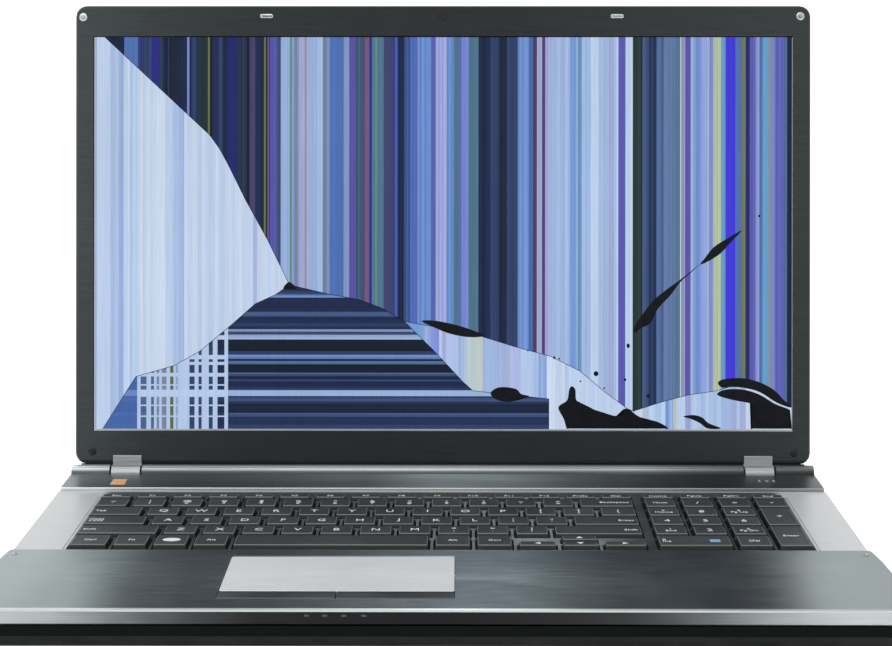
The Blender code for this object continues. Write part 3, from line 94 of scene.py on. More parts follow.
class Look:
    """A procedural material in the making, with short ways to add wired nodes."""

    def __init__(self, name, colour, metallic=0.0, roughness=0.5, **sockets):
        self.material = bpy.data.materials.new(name)
        self.material.use_nodes = True
        self.tree = self.material.node_tree
        self.shader = self.tree.nodes["Principled BSDF"]
        self.shader.inputs["Base Color"].default_value = (*linear(colour), 1.0)
        self.shader.inputs["Metallic"].default_value = metallic
        self.shader.inputs["Roughness"].default_value = roughness
        for socket, value in sockets.items():
            self.shader.inputs[socket.replace("_", " ")].default_value = value
        self.coords = self.add("TexCoord").outputs["Object"]

    def add(self, kind, inputs=None, **settings):
        node = self.tree.nodes.new("ShaderNode" + kind)
        for name, value in settings.items():
            setattr(node, name, value)
        for name, value in (inputs or {}).items():
            self.feed(node.inputs[name], value)
        return node

    def feed(self, socket, value):
        if isinstance(value, bpy.types.NodeSocket):
            self.tree.links.new(value, socket)
        else:
            socket.default_value = value

    def noise(self, stretch, detail=3.0, low=0.0, high=1.0, start=0.3, end=0.7):
        """Noise at a number of waves per metre along each axis, mapped to a range."""
        place = self.add("Mapping", {"Vector": self.coords, "Scale": stretch})
        grain = self.add("TexNoise", {"Vector": place.outputs["Vector"], "Scale": 1.0, "Detail": detail})
        span = {"Value": grain.outputs["Fac"], "From Min": start, "From Max": end, "To Min": low, "To Max": high}
        return self.add("MapRange", span).outputs["Result"]

    def math(self, operation, first, second):
        return self.add("Math", {0: first, 1: second}, operation=operation).outputs["Value"]

    def blend(self, share, first, second, blend_type="MIX"):
        """Colour between two colours; hex codes or sockets."""
        node = self.add("Mix", data_type="RGBA", blend_type=blend_type)
        self.feed(node.inputs[0], share)
        for index, colour in ((6, first), (7, second)):
            self.feed(node.inputs[index], (*linear(colour), 1.0) if isinstance(colour, str) else colour)
        return node.outputs[2]

    def colour(self, socket):
        self.feed(self.shader.inputs["Base Color"], socket)
        return self

    def rough(self, socket):
        self.feed(self.shader.inputs["Roughness"], socket)
        return self

    def relief(self, height, depth, strength=1.0):
        bump = self.add("Bump", {"Height": height, "Distance": depth, "Strength": strength})
        self.feed(self.shader.inputs["Normal"], bump.outputs["Normal"])
        return self

    def axis(self, name):
        return self.add("SeparateXYZ", {"Vector": self.coords}).outputs[name]

    def fade(self, value, start, end, low=0.0, high=1.0):
        """Smooth change from low to high while the value goes from start to end."""
        span = {"Value": value, "From Min": start, "From Max": end, "To Min": low, "To Max": high}
        return self.add("MapRange", span, interpolation_type="SMOOTHSTEP").outputs["Result"]

    def painted_reflection(self, stops):
        """Painted reflection: soft bands of brightness across the width, from pairs of metres right of the middle and
        gain.
        """
        span = {"Value": self.axis("X"), "From Min": -PAINTED_REFLECTION_HALF, "From Max": PAINTED_REFLECTION_HALF}
        ramp = self.add("ValToRGB", {"Fac": self.add("MapRange", span).outputs["Result"]})
        ramp.color_ramp.interpolation = "CARDINAL"
        marks = ramp.color_ramp.elements
        places = [(x + PAINTED_REFLECTION_HALF) / (2 * PAINTED_REFLECTION_HALF) for x, _ in stops]
        marks[0].position = places[0]
        marks[1].position = places[-1]
        for place in places[1:-1]:
            marks.new(place)
        for mark, (_, gain) in zip(marks, stops):
            mark.color = (gain / PAINTED_REFLECTION_MOST, gain / PAINTED_REFLECTION_MOST, gain / PAINTED_REFLECTION_MOST, 1.0)
        return self.math("MULTIPLY", ramp.outputs["Color"], PAINTED_REFLECTION_MOST)

    def scaled(self, colour, gain):
        """Colour times a gain; a hex code or a socket."""
        start = linear(colour) if isinstance(colour, str) else colour
        return self.add("VectorMath", {0: start, "Scale": gain}, operation="SCALE").outputs["Vector"]

    def facing(self, name):
        """One part of the surface normal, in the piece's own rest frame."""
        normal = self.add("TexCoord").outputs["Normal"]
        return self.add("SeparateXYZ", {"Vector": normal}).outputs[name]

    def edges(self, radius):
        """1 near sharp edges and 0 on open faces."""
        soft = self.add("Bevel", {"Radius": radius}, samples=4)
        hard = self.add("NewGeometry")
        angle = self.add("VectorMath", {0: soft.outputs["Normal"], 1: hard.outputs["Normal"]}, operation="DOT_PRODUCT")
        span = {"Value": angle.outputs["Value"], "From Min": 0.96, "From Max": 0.8, "To Min": 0.0, "To Max": 1.0}
        return self.add("MapRange", span).outputs["Result"]


# Finishes

# Painted reflection: half its span and its largest gain
PAINTED_REFLECTION_HALF = 0.21
PAINTED_REFLECTION_MOST = 6.0
# Painted glints on the key web, brightest just right of the middle
WEB_PAINTED_REFLECTION = [(-0.200, 0.6), (-0.100, 0.7), (-0.030, 1.6), (0.030, 2.8), (0.075, 2.6), (0.095, 0.7), (0.200, 0.6)]

# The panel looks far darker from the shallow angle at which the metal mirrors it
PANEL_OFF_ANGLE_LOSS = 0.85


def brushed_metal(name, dark, light, edge_highlight, metallic, rough_low, rough_high, painted_reflection=None, zones=()):
    """Metal brushed along the laptop's width, with soft smudges, edges painted paler as a highlight and maybe bands of
    painted reflection.

    A zone is a function that gives its mask from the look, its tone and the stops of its own painted reflection; zones
    paint highlights and shade.
    """
    look = Look(name, light, metallic, rough_low, Anisotropic=0.35)
    streaks = look.noise((45.0, 2400.0, 2400.0), 2.0)
    cloud = look.noise((14.0, 20.0, 20.0), 4.0)
    brushed = look.blend(streaks, dark, light)
    stained = look.blend(look.math("MULTIPLY", cloud, 0.14), brushed, dark)
    # Edges painted paler as a highlight
    surface = look.blend(look.math("MULTIPLY", look.edges(0.0005), 0.55), stained, edge_highlight)
    if painted_reflection:
        surface = look.scaled(surface, look.painted_reflection(painted_reflection))
    for place, tone, stops in zones:
        paint = look.scaled(look.blend(look.math("MULTIPLY", streaks, 0.15), tone, dark), look.painted_reflection(stops))
        surface = look.blend(place(look), surface, paint)
    look.colour(surface)
    marks = look.noise((45.0, 60.0, 60.0), 6.0, 0.0, 0.05)
    look.rough(look.math("ADD", look.noise((45.0, 2400.0, 2400.0), 2.0, rough_low, rough_high), marks))
    return look.relief(streaks, 0.00002, 0.3).material


EVEN = [(-0.2, 1.0), (0.2, 1.0)]


def palm_front(look):
    """The upright face of the palm rest's skirt, where a reflection is painted, dark in the middle and pale at the
    ends.
    """
    near = look.fade(look.axis("Y"), FRONT + 0.0022, FRONT + 0.0018)
    return look.math("MULTIPLY", near, look.fade(look.facing("Z"), 0.2, 0.1))


def palm_lip(look):
    """The bevels along the palm rest's front edge, where a pale highlight is painted."""
    near = look.fade(look.axis("Y"), FRONT + 0.0022, FRONT + 0.0018)
    tilt = look.math("MULTIPLY", look.fade(look.facing("Z"), 0.1, 0.2), look.fade(look.facing("Z"), 0.95, 0.6))
    return look.math("MULTIPLY", near, tilt)


def strip_face(look):
    """The low step at the rear strip's front, where a pale highlight is painted."""
    return look.fade(look.axis("Y"), FRONT + 0.2209, FRONT + 0.2207)


# The ridge from its foot backwards; its zone paints it darker as shade
def ridge_foot(look):
    return look.fade(look.axis("Y"), FRONT + 0.2512, FRONT + 0.2520)


# The ridge's top, where a pale highlight is painted
def ridge_crown(look):
    risen = look.fade(look.axis("Z"), PALM_TOP - 0.0008, PALM_TOP)
    return look.math("MULTIPLY", risen, look.fade(look.axis("Y"), FRONT + 0.2517, FRONT + 0.2553))


def ridge_slot_shade(look):
    """Dark ends of the ridge beside the hinge covers: painted shade."""
    off = look.math("SUBTRACT", look.math("ABSOLUTE", look.axis("X"), 0.0), HINGE_COVER_X)
    beside = look.fade(look.math("ABSOLUTE", off, 0.0), HINGE_COVER_HALF + 0.0013, HINGE_COVER_HALF + 0.0010)
    return look.math("MULTIPLY", beside, ridge_foot(look))


def bezel_foot(look):
    """The lowest millimetre of the bezel, painted darker as shade."""
    return look.fade(look.axis("Z"), BEZEL_LOW + 0.0026, BEZEL_LOW + 0.0018)


# The buttons' front edge, where a pale highlight is painted
def button_lip(look):
    return look.fade(look.axis("Y"), BUTTON_FRONT + 0.0009, BUTTON_FRONT + 0.0006)


def key_shade(look):
    """The deck just behind the keys, darkened by them."""
    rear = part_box("keyboard_plate")[1].y
    depth = look.math("MULTIPLY", look.fade(look.axis("Y"), rear + 0.0132, rear + 0.0100),
                      look.fade(look.axis("Y"), rear - 0.0015, rear - 0.0010))
    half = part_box("keyboard_plate")[1].x
    return look.math("MULTIPLY", depth, look.fade(look.math("ABSOLUTE", look.axis("X"), 0.0), half, half - 0.006))


def moulded_plastic(name, dark, light, roughness, grain=5200.0, depth=0.00003):
    """Plastic with a fine spark-eroded grain and faint handling marks."""
    look = Look(name, light, 0.0, roughness, Specular_IOR_Level=0.3)
    speckle = look.noise((grain, grain, grain), 2.0)
    cloud = look.noise((30.0, 30.0, 30.0), 5.0)
    look.colour(look.blend(cloud, dark, light))
    look.rough(look.noise((55.0, 70.0, 55.0), 6.0, roughness - 0.06, roughness + 0.08))
    return look.relief(speckle, depth, 0.4).material


def shell_plastic():
    """Case plastic that turns to matt rubber on the soles of the feet."""
    look = Look("case_plastic", "#101112", 0.0, 0.5, Specular_IOR_Level=0.06)
    sole = look.math("LESS_THAN", look.axis("Z"), CASE_FLOOR - 0.00005)
    cloud = look.noise((30.0, 30.0, 30.0), 5.0)
    plastic = look.blend(cloud, "#070909", "#0b0d0d")
    look.colour(look.blend(sole, plastic, "#2d2b2a"))
    look.rough(look.math("ADD", look.noise((60.0, 60.0, 60.0), 6.0, 0.42, 0.58), look.math("MULTIPLY", sole, 0.3)))
    return look.relief(look.noise((4200.0, 4200.0, 4200.0), 2.0), 0.00004, 0.4).material


def key_plastic():
    """Cap plastic: a matt top, sides painted near-black as shade and a lip painted pale as a highlight."""
    look = Look("key_plastic", "#3a3c3e", 0.0, 0.46)
    facing = look.facing("Z")
    # Painted shade on the steep sides, painted highlight on the lip
    side = look.fade(facing, 0.6, 0.3)
    lip = look.math("MULTIPLY", look.fade(facing, 0.4, 0.62), look.fade(facing, 0.985, 0.93))
    cloud = look.noise((30.0, 30.0, 30.0), 5.0)
    top = look.blend(cloud, "#2a2e2f", "#393e3f")
    shaded = look.blend(side, top, "#0b0c0d")
    look.colour(look.blend(look.math("MULTIPLY", lip, 0.5), shaded, "#858b8c"))
    look.rough(look.noise((55.0, 70.0, 55.0), 6.0, 0.4, 0.54))
    return look.relief(look.noise((4200.0, 4200.0, 4200.0), 2.0), 0.00002, 0.4).material


def lattice_metal():
    """Web between the keys: painted as shaded and dull inside, with painted glints across its middle, pale where it
    meets the deck.
    """
    look = Look("lattice_metal", "#7d7f81", 0.6, 0.4, Anisotropic=0.35)
    low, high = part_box("keyboard_frame")
    middle = (low + high) / 2
    half = (high - low) / 2
    across = look.math("ABSOLUTE", look.math("SUBTRACT", look.axis("X"), middle.x), 0.0)
    along = look.math("SUBTRACT", middle.y, look.axis("Y"))
    past = look.math("MAXIMUM", look.math("SUBTRACT", across, half.x), look.math("SUBTRACT", along, half.y))
    border = look.fade(past, -0.0016, -0.0010)
    cloud = look.noise((40.0, 60.0, 60.0), 4.0)
    web = look.scaled(look.blend(cloud, "#515859", "#747b7c"), look.painted_reflection(WEB_PAINTED_REFLECTION))
    look.colour(look.blend(border, web, "#cdd1d2"))
    look.rough(look.noise((8.0, 900.0, 900.0), 2.0, 0.34, 0.5))
    return look.relief(look.noise((6.0, 1500.0, 1500.0), 2.0), 0.00002, 0.3).material


def bare_metal(name, dark, light, roughness):
    """Stamped or moulded metal with fine scratches and dull patches."""
    look = Look(name, light, 1.0, roughness)
    scratches = look.noise((900.0, 120.0, 900.0), 4.0)
    cloud = look.noise((90.0, 90.0, 90.0), 5.0)
    look.colour(look.blend(look.math("MULTIPLY", cloud, scratches), light, dark))
    look.rough(look.noise((160.0, 160.0, 160.0), 5.0, roughness - 0.08, roughness + 0.14))
    return look.relief(scratches, 0.00002, 0.3).material


def circuit_board():
    """Green lacquer over copper tracks, with paler solder points."""
    look = Look("circuit_board", "#0e3a26", 0.1, 0.4)
    tracks = look.add("TexBrick", {"Vector": look.coords, "Scale": 120.0, "Mortar Size": 0.03}, offset=0.3)
    lacquer = look.blend(tracks.outputs["Fac"], "#10402a", "#2c6b43")
    points = look.add("TexVoronoi", {"Vector": look.coords, "Scale": 420.0}, feature="F1")
    solder = look.math("LESS_THAN", points.outputs["Distance"], 0.16)
    look.colour(look.blend(solder, lacquer, "#a9aaa6"))
    look.rough(look.noise((200.0, 200.0, 200.0), 3.0, 0.3, 0.5))
    return look.relief(tracks.outputs["Fac"], 0.00003, 0.5).material


def lit_picture():
    """The broken panel: its drawn colours glow, with a fine pixel weave and uneven backlight."""
    look = Look("lit_picture", "#05070a", 0.0, 0.42, Specular_IOR_Level=0.1, Emission_Strength=0.98)
    print_colour = look.add("Attribute", attribute_name="picture").outputs["Color"]
    weave = look.noise((2200.0, 30.0, 30.0), 1.0, 0.94, 1.05)
    cloud = look.noise((9.0, 9.0, 9.0), 2.0, 0.96, 1.03)
    mirrored = look.add("LightPath").outputs["Is Glossy Ray"]
    dimmed = look.math("SUBTRACT", 1.0, look.math("MULTIPLY", mirrored, PANEL_OFF_ANGLE_LOSS))
    shade = look.math("MULTIPLY", look.math("MULTIPLY", weave, cloud), dimmed)
    glow = look.add("VectorMath", {0: print_colour}, operation="SCALE")
    look.feed(glow.inputs["Scale"], shade)
    look.feed(look.shader.inputs["Emission Color"], glow.outputs["Vector"])
    look.rough(look.noise((40.0, 40.0, 40.0), 4.0, 0.38, 0.5))
    return look.material


def liquid_blot():
    """Leaked black liquid behind the glass, faintly mottled."""
    look = Look("liquid_blot", "#0b0d12", 0.0, 0.35, Specular_IOR_Level=0.15)
    cloud = look.noise((160.0, 160.0, 160.0), 5.0)
    look.colour(look.blend(cloud, "#07080c", "#10141c"))
    look.rough(look.noise((300.0, 300.0, 300.0), 4.0, 0.3, 0.5))
    return look.material


def printed_ink(name, colour, glow=0.0):
    """Thin printed marks with slightly uneven cover."""
    look = Look(name, colour, 0.0, 0.45)
    cover = look.noise((2600.0, 2600.0, 2600.0), 3.0, 0.0, 0.25)
    shaded = look.blend(cover, colour, "#6c6e70")
    look.colour(shaded)
    look.rough(look.noise((1500.0, 1500.0, 1500.0), 2.0, 0.4, 0.6))
    if glow:
        look.feed(look.shader.inputs["Emission Color"], shaded)
        look.shader.inputs["Emission Strength"].default_value = glow
    return look.material


HINGE_COVER_LOW, HINGE_COVER_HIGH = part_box("hinge_cover_right")
HINGE_COVER_X = (HINGE_COVER_LOW.x + HINGE_COVER_HIGH.x) / 2
HINGE_COVER_HALF = (HINGE_COVER_HIGH.x - HINGE_COVER_LOW.x) / 2
BEZEL_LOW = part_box("screen_bezel")[0].z
BUTTON_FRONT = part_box("left_button")[0].y

# Bands of painted reflection: metres right of the middle and gain
PALM_PAINTED_REFLECTION = [
    (-0.190, 2.65), (-0.172, 2.4), (-0.154, 2.5), (-0.136, 1.45), (-0.118, 1.05), (-0.100, 1.05), (-0.072, 1.4),
    (-0.045, 2.3), (-0.018, 3.2), (0.001, 4.1), (0.019, 4.2), (0.037, 3.5), (0.055, 2.2), (0.073, 1.35),
    (0.091, 1.05), (0.110, 0.78), (0.128, 0.68), (0.146, 1.05), (0.164, 2.2), (0.182, 2.25), (0.200, 2.1),
]
PALM_FRONT_PAINTED_REFLECTION = [
    (-0.200, 0.8), (-0.180, 0.75), (-0.163, 0.6), (-0.146, 0.39), (-0.128, 0.22), (-0.111, 0.12), (-0.085, 0.048),
    (-0.059, 0.031), (-0.016, 0.024), (0.018, 0.027), (0.053, 0.04), (0.070, 0.054), (0.087, 0.082), (0.105, 0.165),
    (0.122, 0.3), (0.139, 0.5), (0.156, 0.7), (0.173, 0.87), (0.200, 0.87),
]
STRIP_PAINTED_REFLECTION = [
    (-0.200, 2.4), (-0.188, 2.2), (-0.166, 1.6), (-0.144, 1.15), (-0.120, 1.2), (-0.078, 1.85), (-0.057, 2.5),
    (-0.035, 3.1), (-0.002, 6.0), (0.020, 5.7), (0.042, 4.6), (0.064, 2.75), (0.085, 1.65), (0.107, 1.0),
    (0.129, 0.7), (0.151, 0.52), (0.173, 0.85), (0.200, 0.9),
]
STRIP_FACE_PAINTED_REFLECTION = [
    (-0.200, 1.1), (-0.170, 0.95), (-0.100, 0.82), (-0.050, 0.88), (0.0, 0.92), (0.050, 0.8), (0.090, 0.68),
    (0.134, 0.5), (0.160, 0.4), (0.180, 0.4), (0.200, 0.5),
]
RIDGE_PAINTED_REFLECTION = [
    (-0.200, 1.3), (-0.166, 0.95), (-0.133, 0.86), (-0.090, 1.0), (-0.024, 1.14), (0.020, 1.14), (0.064, 0.98),
    (0.107, 1.0), (0.129, 0.68), (0.151, 0.5), (0.200, 0.38),
]
BEZEL_PAINTED_REFLECTION = [
    (-0.200, 1.3), (-0.167, 0.86), (-0.133, 0.66), (-0.099, 0.5), (-0.065, 0.44), (-0.020, 0.4), (0.038, 0.41),
    (0.072, 0.48), (0.106, 0.58), (0.140, 0.66), (0.174, 0.75), (0.200, 0.8),
]
# The zones below paint highlights, shade and reflections into these finishes
GUNMETAL = brushed_metal("brushed_gunmetal", "#616869", "#71797a", "#afb6b7", 0.9, 0.3, 0.42)
PALM = brushed_metal(
    "palm_gunmetal", "#616869", "#71797a", "#afb6b7", 0.9, 0.3, 0.42, PALM_PAINTED_REFLECTION,
    [(palm_front, "#bcc3c4", PALM_FRONT_PAINTED_REFLECTION), (palm_lip, "#dde2e2", EVEN)],
)
BUTTON = brushed_metal(
    "button_gunmetal", "#616869", "#71797a", "#afb6b7", 0.9, 0.3, 0.42, None, [(button_lip, "#cdd2d3", EVEN)],
)
BEZEL = brushed_metal(
    "bezel_gunmetal", "#2b3132", "#373e3f", "#7a8182", 0.4, 0.36, 0.5, BEZEL_PAINTED_REFLECTION, [(bezel_foot, "#0e1112", EVEN)],
)
RIDGE = brushed_metal(
    "ridge_gunmetal", "#585e5f", "#686e6f", "#afb6b7", 0.85, 0.28, 0.4, STRIP_PAINTED_REFLECTION,
    [
        (strip_face, "#dde2e2", STRIP_FACE_PAINTED_REFLECTION), (ridge_foot, "#3c4243", RIDGE_PAINTED_REFLECTION),
        (ridge_crown, "#d3d9da", RIDGE_PAINTED_REFLECTION), (ridge_slot_shade, "#0b0c0d", EVEN),
    ],
)
SILVER = brushed_metal(
    "brushed_silver", "#c3c6c6", "#d7d9d9", "#f4f5f5", 0.45, 0.3, 0.44, None, [(key_shade, "#2e3334", EVEN)],
)
PAD_SILVER = brushed_metal("touchpad_silver", "#c9cccd", "#d8dadb", "#eceded", 0.2, 0.4, 0.52)
COVER_SILVER = brushed_metal("hinge_silver", "#96999b", "#b0b3b5", "#e4e5e6", 0.6, 0.3, 0.42)
LATTICE = lattice_metal()
BLACK = moulded_plastic("black_plastic", "#111214", "#1d1e20", 0.45)
SHELL = shell_plastic()
KEYS = key_plastic()
ORANGE = moulded_plastic("orange_plastic", "#d79c68", "#edc092", 0.4)
STEEL = bare_metal("stamped_steel", "#77797b", "#b9bbbd", 0.3)
NICKEL = bare_metal("nickel_socket", "#8e9091", "#c9cbcc", 0.26)
COPPER = bare_metal("copper_pipe", "#8a4a2b", "#c9774b", 0.28)
BOARD = circuit_board()
PICTURE = lit_picture()
BLOT = liquid_blot()
WHITE_INK = printed_ink("white_legend", "#e6e9ea")
BLUE_INK = printed_ink("blue_legend", "#6fb0d6")
LAMP_INK = printed_ink("lamp_mark", "#8d9294")
FAINT_INK = printed_ink("faint_mark", "#2c3031")

NODE_LOOKS = {
    "palm_rest": PALM, "rear_strip": RIDGE, "left_button": BUTTON, "right_button": BUTTON,
    "screen_bezel": BEZEL, "lid_back_cover": GUNMETAL,
    "top_deck": SILVER, "keyboard_frame": LATTICE,
    "hinge_cover_left": COVER_SILVER, "hinge_cover_right": COVER_SILVER,
    "touchpad": PAD_SILVER,
    "bottom_shell": SHELL, "power_button": ORANGE, "heatsink": COPPER, "motherboard": BOARD,
    "memory_module": BOARD, "wireless_card": BOARD, "backlight_panel": BLACK,
    "hinge_bracket_left": STEEL, "hinge_bracket_right": STEEL, "hinge_arm_left": STEEL, "hinge_arm_right": STEEL,
    "hard_drive": STEEL, "optical_drive": STEEL,
    "usb_block_left": NICKEL, "usb_socket_right": NICKEL, "ethernet_socket": NICKEL, "hdmi_socket": NICKEL,
}


def paint_nodes():
    """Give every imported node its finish; what isn't listed is black plastic."""
    for name, thing in nodes.items():
        look = NODE_LOOKS.get(name, BLACK)
        if not thing.data.materials:
            thing.data.materials.append(look)
        for index in range(len(thing.data.materials)):
            thing.data.materials[index] = look


# Shapes


def make(name, shape, look, body, on_lid=False, smooth=True):
    """Turn a bmesh into a piece that rides on a body; lid pieces are drawn in the lid's frame."""
    if on_lid:
        shape.transform(LID)
    bmesh.ops.recalc_face_normals(shape, faces=shape.faces)
    mesh = bpy.data.meshes.new(name)
    shape.to_mesh(mesh)
    shape.free()
    if smooth:
        mesh.shade_smooth()
        mesh.set_sharp_from_angle(angle=math.radians(38))
    mesh.materials.append(look)
    thing = bpy.data.objects.new(name, mesh)
    bpy.context.scene.collection.objects.link(thing)
    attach(thing, body)
    return thing


def inset(outline, distance):
    """Move each side of a counter-clockwise outline inward by distance."""
    moved = []
    for index, here in enumerate(outline):
        before = Vector(outline[index - 1])
        after = Vector(outline[(index + 1) % len(outline)])
        here = Vector(here)
        side_in = (here - before).normalized()
        side_out = (after - here).normalized()
        normal = Vector((-side_in.y, side_in.x)) + Vector((-side_out.y, side_out.x))
        moved.append(here + normal * distance / (1.0 + side_in.dot(side_out)))
    return moved


def rounded(left, right, low, high, radius, steps=3):
    outline = []
    corners = ((right - radius, low + radius, -90), (right - radius, high - radius, 0))
    corners += ((left + radius, high - radius, 90), (left + radius, low + radius, 180))
    for x, y, start in corners:
        for index in range(steps + 1):
            angle = math.radians(start + 90 * index / steps)
            outline.append((x + radius * math.cos(angle), y + radius * math.sin(angle)))
    return outline


def ring(x, y, radius, sides):
    angles = [2 * math.pi * index / sides for index in range(sides)]
    return [(x + radius * math.cos(angle), y + radius * math.sin(angle)) for angle in angles]


def stack(shape, outline, levels, upright=False):
    """Add a solid through insets of an outline; levels are (height, inset). Upright ones face the viewer."""
    rings = []
    for height, distance in levels:
        points = inset(outline, distance) if distance else outline
        spots = [(x, -height, y) if upright else (x, y, height) for x, y in points]
        rings.append([shape.verts.new(spot) for spot in spots])
    bridge(shape, rings)


def bridge(shape, rings):
    """Join rings of vertices into a closed solid."""
    for lower, upper in zip(rings, rings[1:]):
        for index in range(len(lower)):
            following = (index + 1) % len(lower)
            shape.faces.new((lower[index], lower[following], upper[following], upper[index]))
    shape.faces.new(rings[0][::-1])
    shape.faces.new(rings[-1])


def smooth_outline(points, steps=4):
    """Closed smooth curve through given points."""
    outline = []
    count = len(points)
    for index in range(count):
        p0, p1, p2, p3 = (Vector(points[(index + offset) % count]) for offset in (-1, 0, 1, 2))
        for step in range(steps):
            t = step / steps
            curve = 2 * p1 + (p2 - p0) * t + (2 * p0 - 5 * p1 + 4 * p2 - p3) * t * t
            outline.append((curve + (3 * p1 - p0 - 3 * p2 + p3) * t ** 3) * 0.5)
    return outline


# The shattered picture: fields of colour in millimetres from its lower left corner

INKS = {
    "ink": "#131d2e", "navy": "#1e2b4e", "slate": "#34466f", "steel": "#536d9c", "sky": "#7396d4",
    "azure": "#4c72bb", "pale": "#b8ceed", "ice": "#c8d6ea", "mist": "#9cb4dd", "lilac": "#a8b0de",
    "periwinkle": "#7c89d8", "violet": "#5a57b0", "indigo": "#2c2d86", "royal": "#1f2570", "purple": "#5c50a4",
    "plum": "#443f66", "rose": "#70567f", "maroon": "#553b60", "teal": "#5d89a8", "sea": "#4e7787",
    "green": "#5f8f74", "forest": "#2a3c38", "olive": "#6b7440", "lime": "#a8ba68", "vivid": "#4539de",
    "tan": "#9a8d8c", "cyan": "#66a3cf", "dove": "#8b96b4", "cream": "#bcc8c6", "depth": "#101827",
}
MAIN_FIELDS = [
    (0, "navy", "ink"), (9.5, "ink", "navy"), (16, "azure", "steel"), (23.5, "slate", "navy"),
    (31, "indigo", "royal"), (35, "navy", "slate"), (37, "ink", "slate"), (44, "navy", "ink"),
    (53, "navy", "slate"), (57, "ink", "forest"), (65, "royal", "navy"), (67.5, "slate", "ink"),
    (70, "navy", "ink"), (73, "royal", "navy"), (78, "ink", "slate"), (85, "plum", "royal"),
    (88, "navy", "ink"), (96, "violet", "indigo"), (99, "slate", "steel"), (102, "mist", "sky"),
    (109, "dove", "steel"), (112, "lilac", "dove"), (117, "mist", "sky"), (122, "pale", "mist"),
    (125, "dove", "steel"), (129, "azure", "steel"), (136.5, "dove", "sky"), (139.5, "purple", "violet"),
    (143, "slate", "sea"), (147, "rose", "plum"), (150.6, "indigo", "plum"), (152, "sea", "steel"),
    (158.5, "plum", "slate"), (163.5, "indigo", "azure"), (166.5, "ink", "navy"), (169.5, "slate", "azure"),
    (173, "azure", "violet"), (177, "sky", "azure"), (184.5, "violet", "azure"), (187, "lilac", "periwinkle"),
    (193, "sky", "azure"), (197, "steel", "sea"), (201, "periwinkle", "azure"), (205, "sea", "steel"),
    (210.5, "navy", "ink"), (217, "slate", "navy"), (222, "ink", "navy"), (226, "slate", "navy"),
    (232, "sky", "steel"), (238, "azure", "slate"), (240.3, "maroon", "plum"), (242.5, "lilac", "dove"),
    (245.3, "maroon", "violet"), (247, "lilac", "periwinkle"), (250.5, "mist", "pale"), (260.5, "sky", "mist"),
    (265, "teal", "sky"), (267, "mist", "pale"), (272, "pale", "ice"), (276.5, "mist", "pale"),
    (282, "lilac", "dove"), (284.5, "pale", "mist"), (287.1, "violet", "steel"), (291, "pale", "ice"),
    (295, "forest", "ink"), (300.3, "slate", "steel"), (303.8, "navy", "slate"), (308, "steel", "slate"),
    (312, "steel", "dove"), (318, "sea", "steel"), (321.3, "dove", "lilac"), (323.7, "purple", "violet"),
    (326.7, "mist", "teal"), (329.5, "sky", "azure"), (331.5, "mist", "periwinkle"), (337, "periwinkle", "dove"),
    (339, "lime", "cream"), (343.4, "cyan", "teal"), (345.8, "vivid", "vivid"), (351.2, "azure", "steel"),
    (354.2, "olive", "dove"), (356.8, "navy", "indigo"), (359, "violet", "periwinkle"), (362.3, "lilac", "violet"),
    (364.5, "azure", "indigo"), (365.8, "cyan", "teal"), (369, "dove", "teal"), (372.3, "violet", "periwinkle"),
    (377.5, "steel", "slate"), (379.5, "ink", "navy"),
]
MAIN_LINES = [
    (50.6, 1.2, "periwinkle"), (62.0, 1.0, "olive"), (92.8, 1.0, "olive"), (94.7, 0.9, "rose"),
    (107.0, 1.2, "green"), (115.2, 1.1, "tan"), (153.8, 1.1, "green"), (24.8, 1.0, "indigo"), (321.0, 0.5, "ice"),
]
LEFT_FIELDS = [
    (-3, "ice", "dove"), (1, "pale", "ice"), (8.5, "pale", "mist"), (13.2, "mist", "sky"), (15.7, "ice", "pale"),
    (19, "pale", "mist"), (23, "ice", "pale"), (42, "pale", "mist"), (46.3, "lilac", "mist"), (49, "ice", "pale"),
    (86.8, "lilac", "mist"), (89, "ice", "pale"),
]
STRIP_FIELDS = [
    (160, "sky", "cyan"), (178, "mist", "sky"), (184, "periwinkle", "mist"), (189, "lilac", "pale"),
    (196, "mist", "pale"), (203, "cream", "mist"), (213, "mist", "lilac"), (224, "lilac", "pale"),
    (234, "pale", "mist"), (243, "mist", "sky"), (248, "ice", "pale"), (258, "pale", "ice"),
]
CORNER_FIELDS = [
    (290, "ice", "dove"), (304, "pale", "mist"), (313, "sky", "pale"), (317, "cream", "teal"),
    (320, "pale", "mist"), (323.7, "lilac", "violet"), (326.7, "pale", "mist"), (345, "mist", "lilac"),
    (352, "lilac", "pale"), (357, "ice", "pale"),
]
ROW_FIELDS = [
    (-3, "slate", "navy"), (2.2, "navy", "slate"), (6.6, "slate", "steel"), (8.6, "ink", "navy"),
    (13.6, "navy", "slate"), (15, "slate", "steel"), (16.8, "navy", "slate"), (18, "mist", "dove"),
    (21.2, "slate", "navy"), (22.8, "navy", "ink"), (26, "slate", "navy"), (27.2, "navy", "ink"),
    (29, "slate", "steel"), (30.8, "ink", "depth"), (35.4, "steel", "slate"), (37.2, "ink", "navy"),
    (38.3, "sky", "steel"), (40.6, "navy", "slate"), (42.6, "ink", "depth"), (49, "mist", "dove"),
    (51.6, "slate", "navy"), (53.3, "dove", "steel"), (54.6, "navy", "slate"), (58.5, "navy", "ink"),
    (61.6, "slate", "steel"), (64.2, "navy", "ink"), (72, "sky", "slate"), (73.6, "slate", "navy"), (75.8, "navy", "ink"),
]
PLAID_START = 23.3
PLAID_END = 73.2
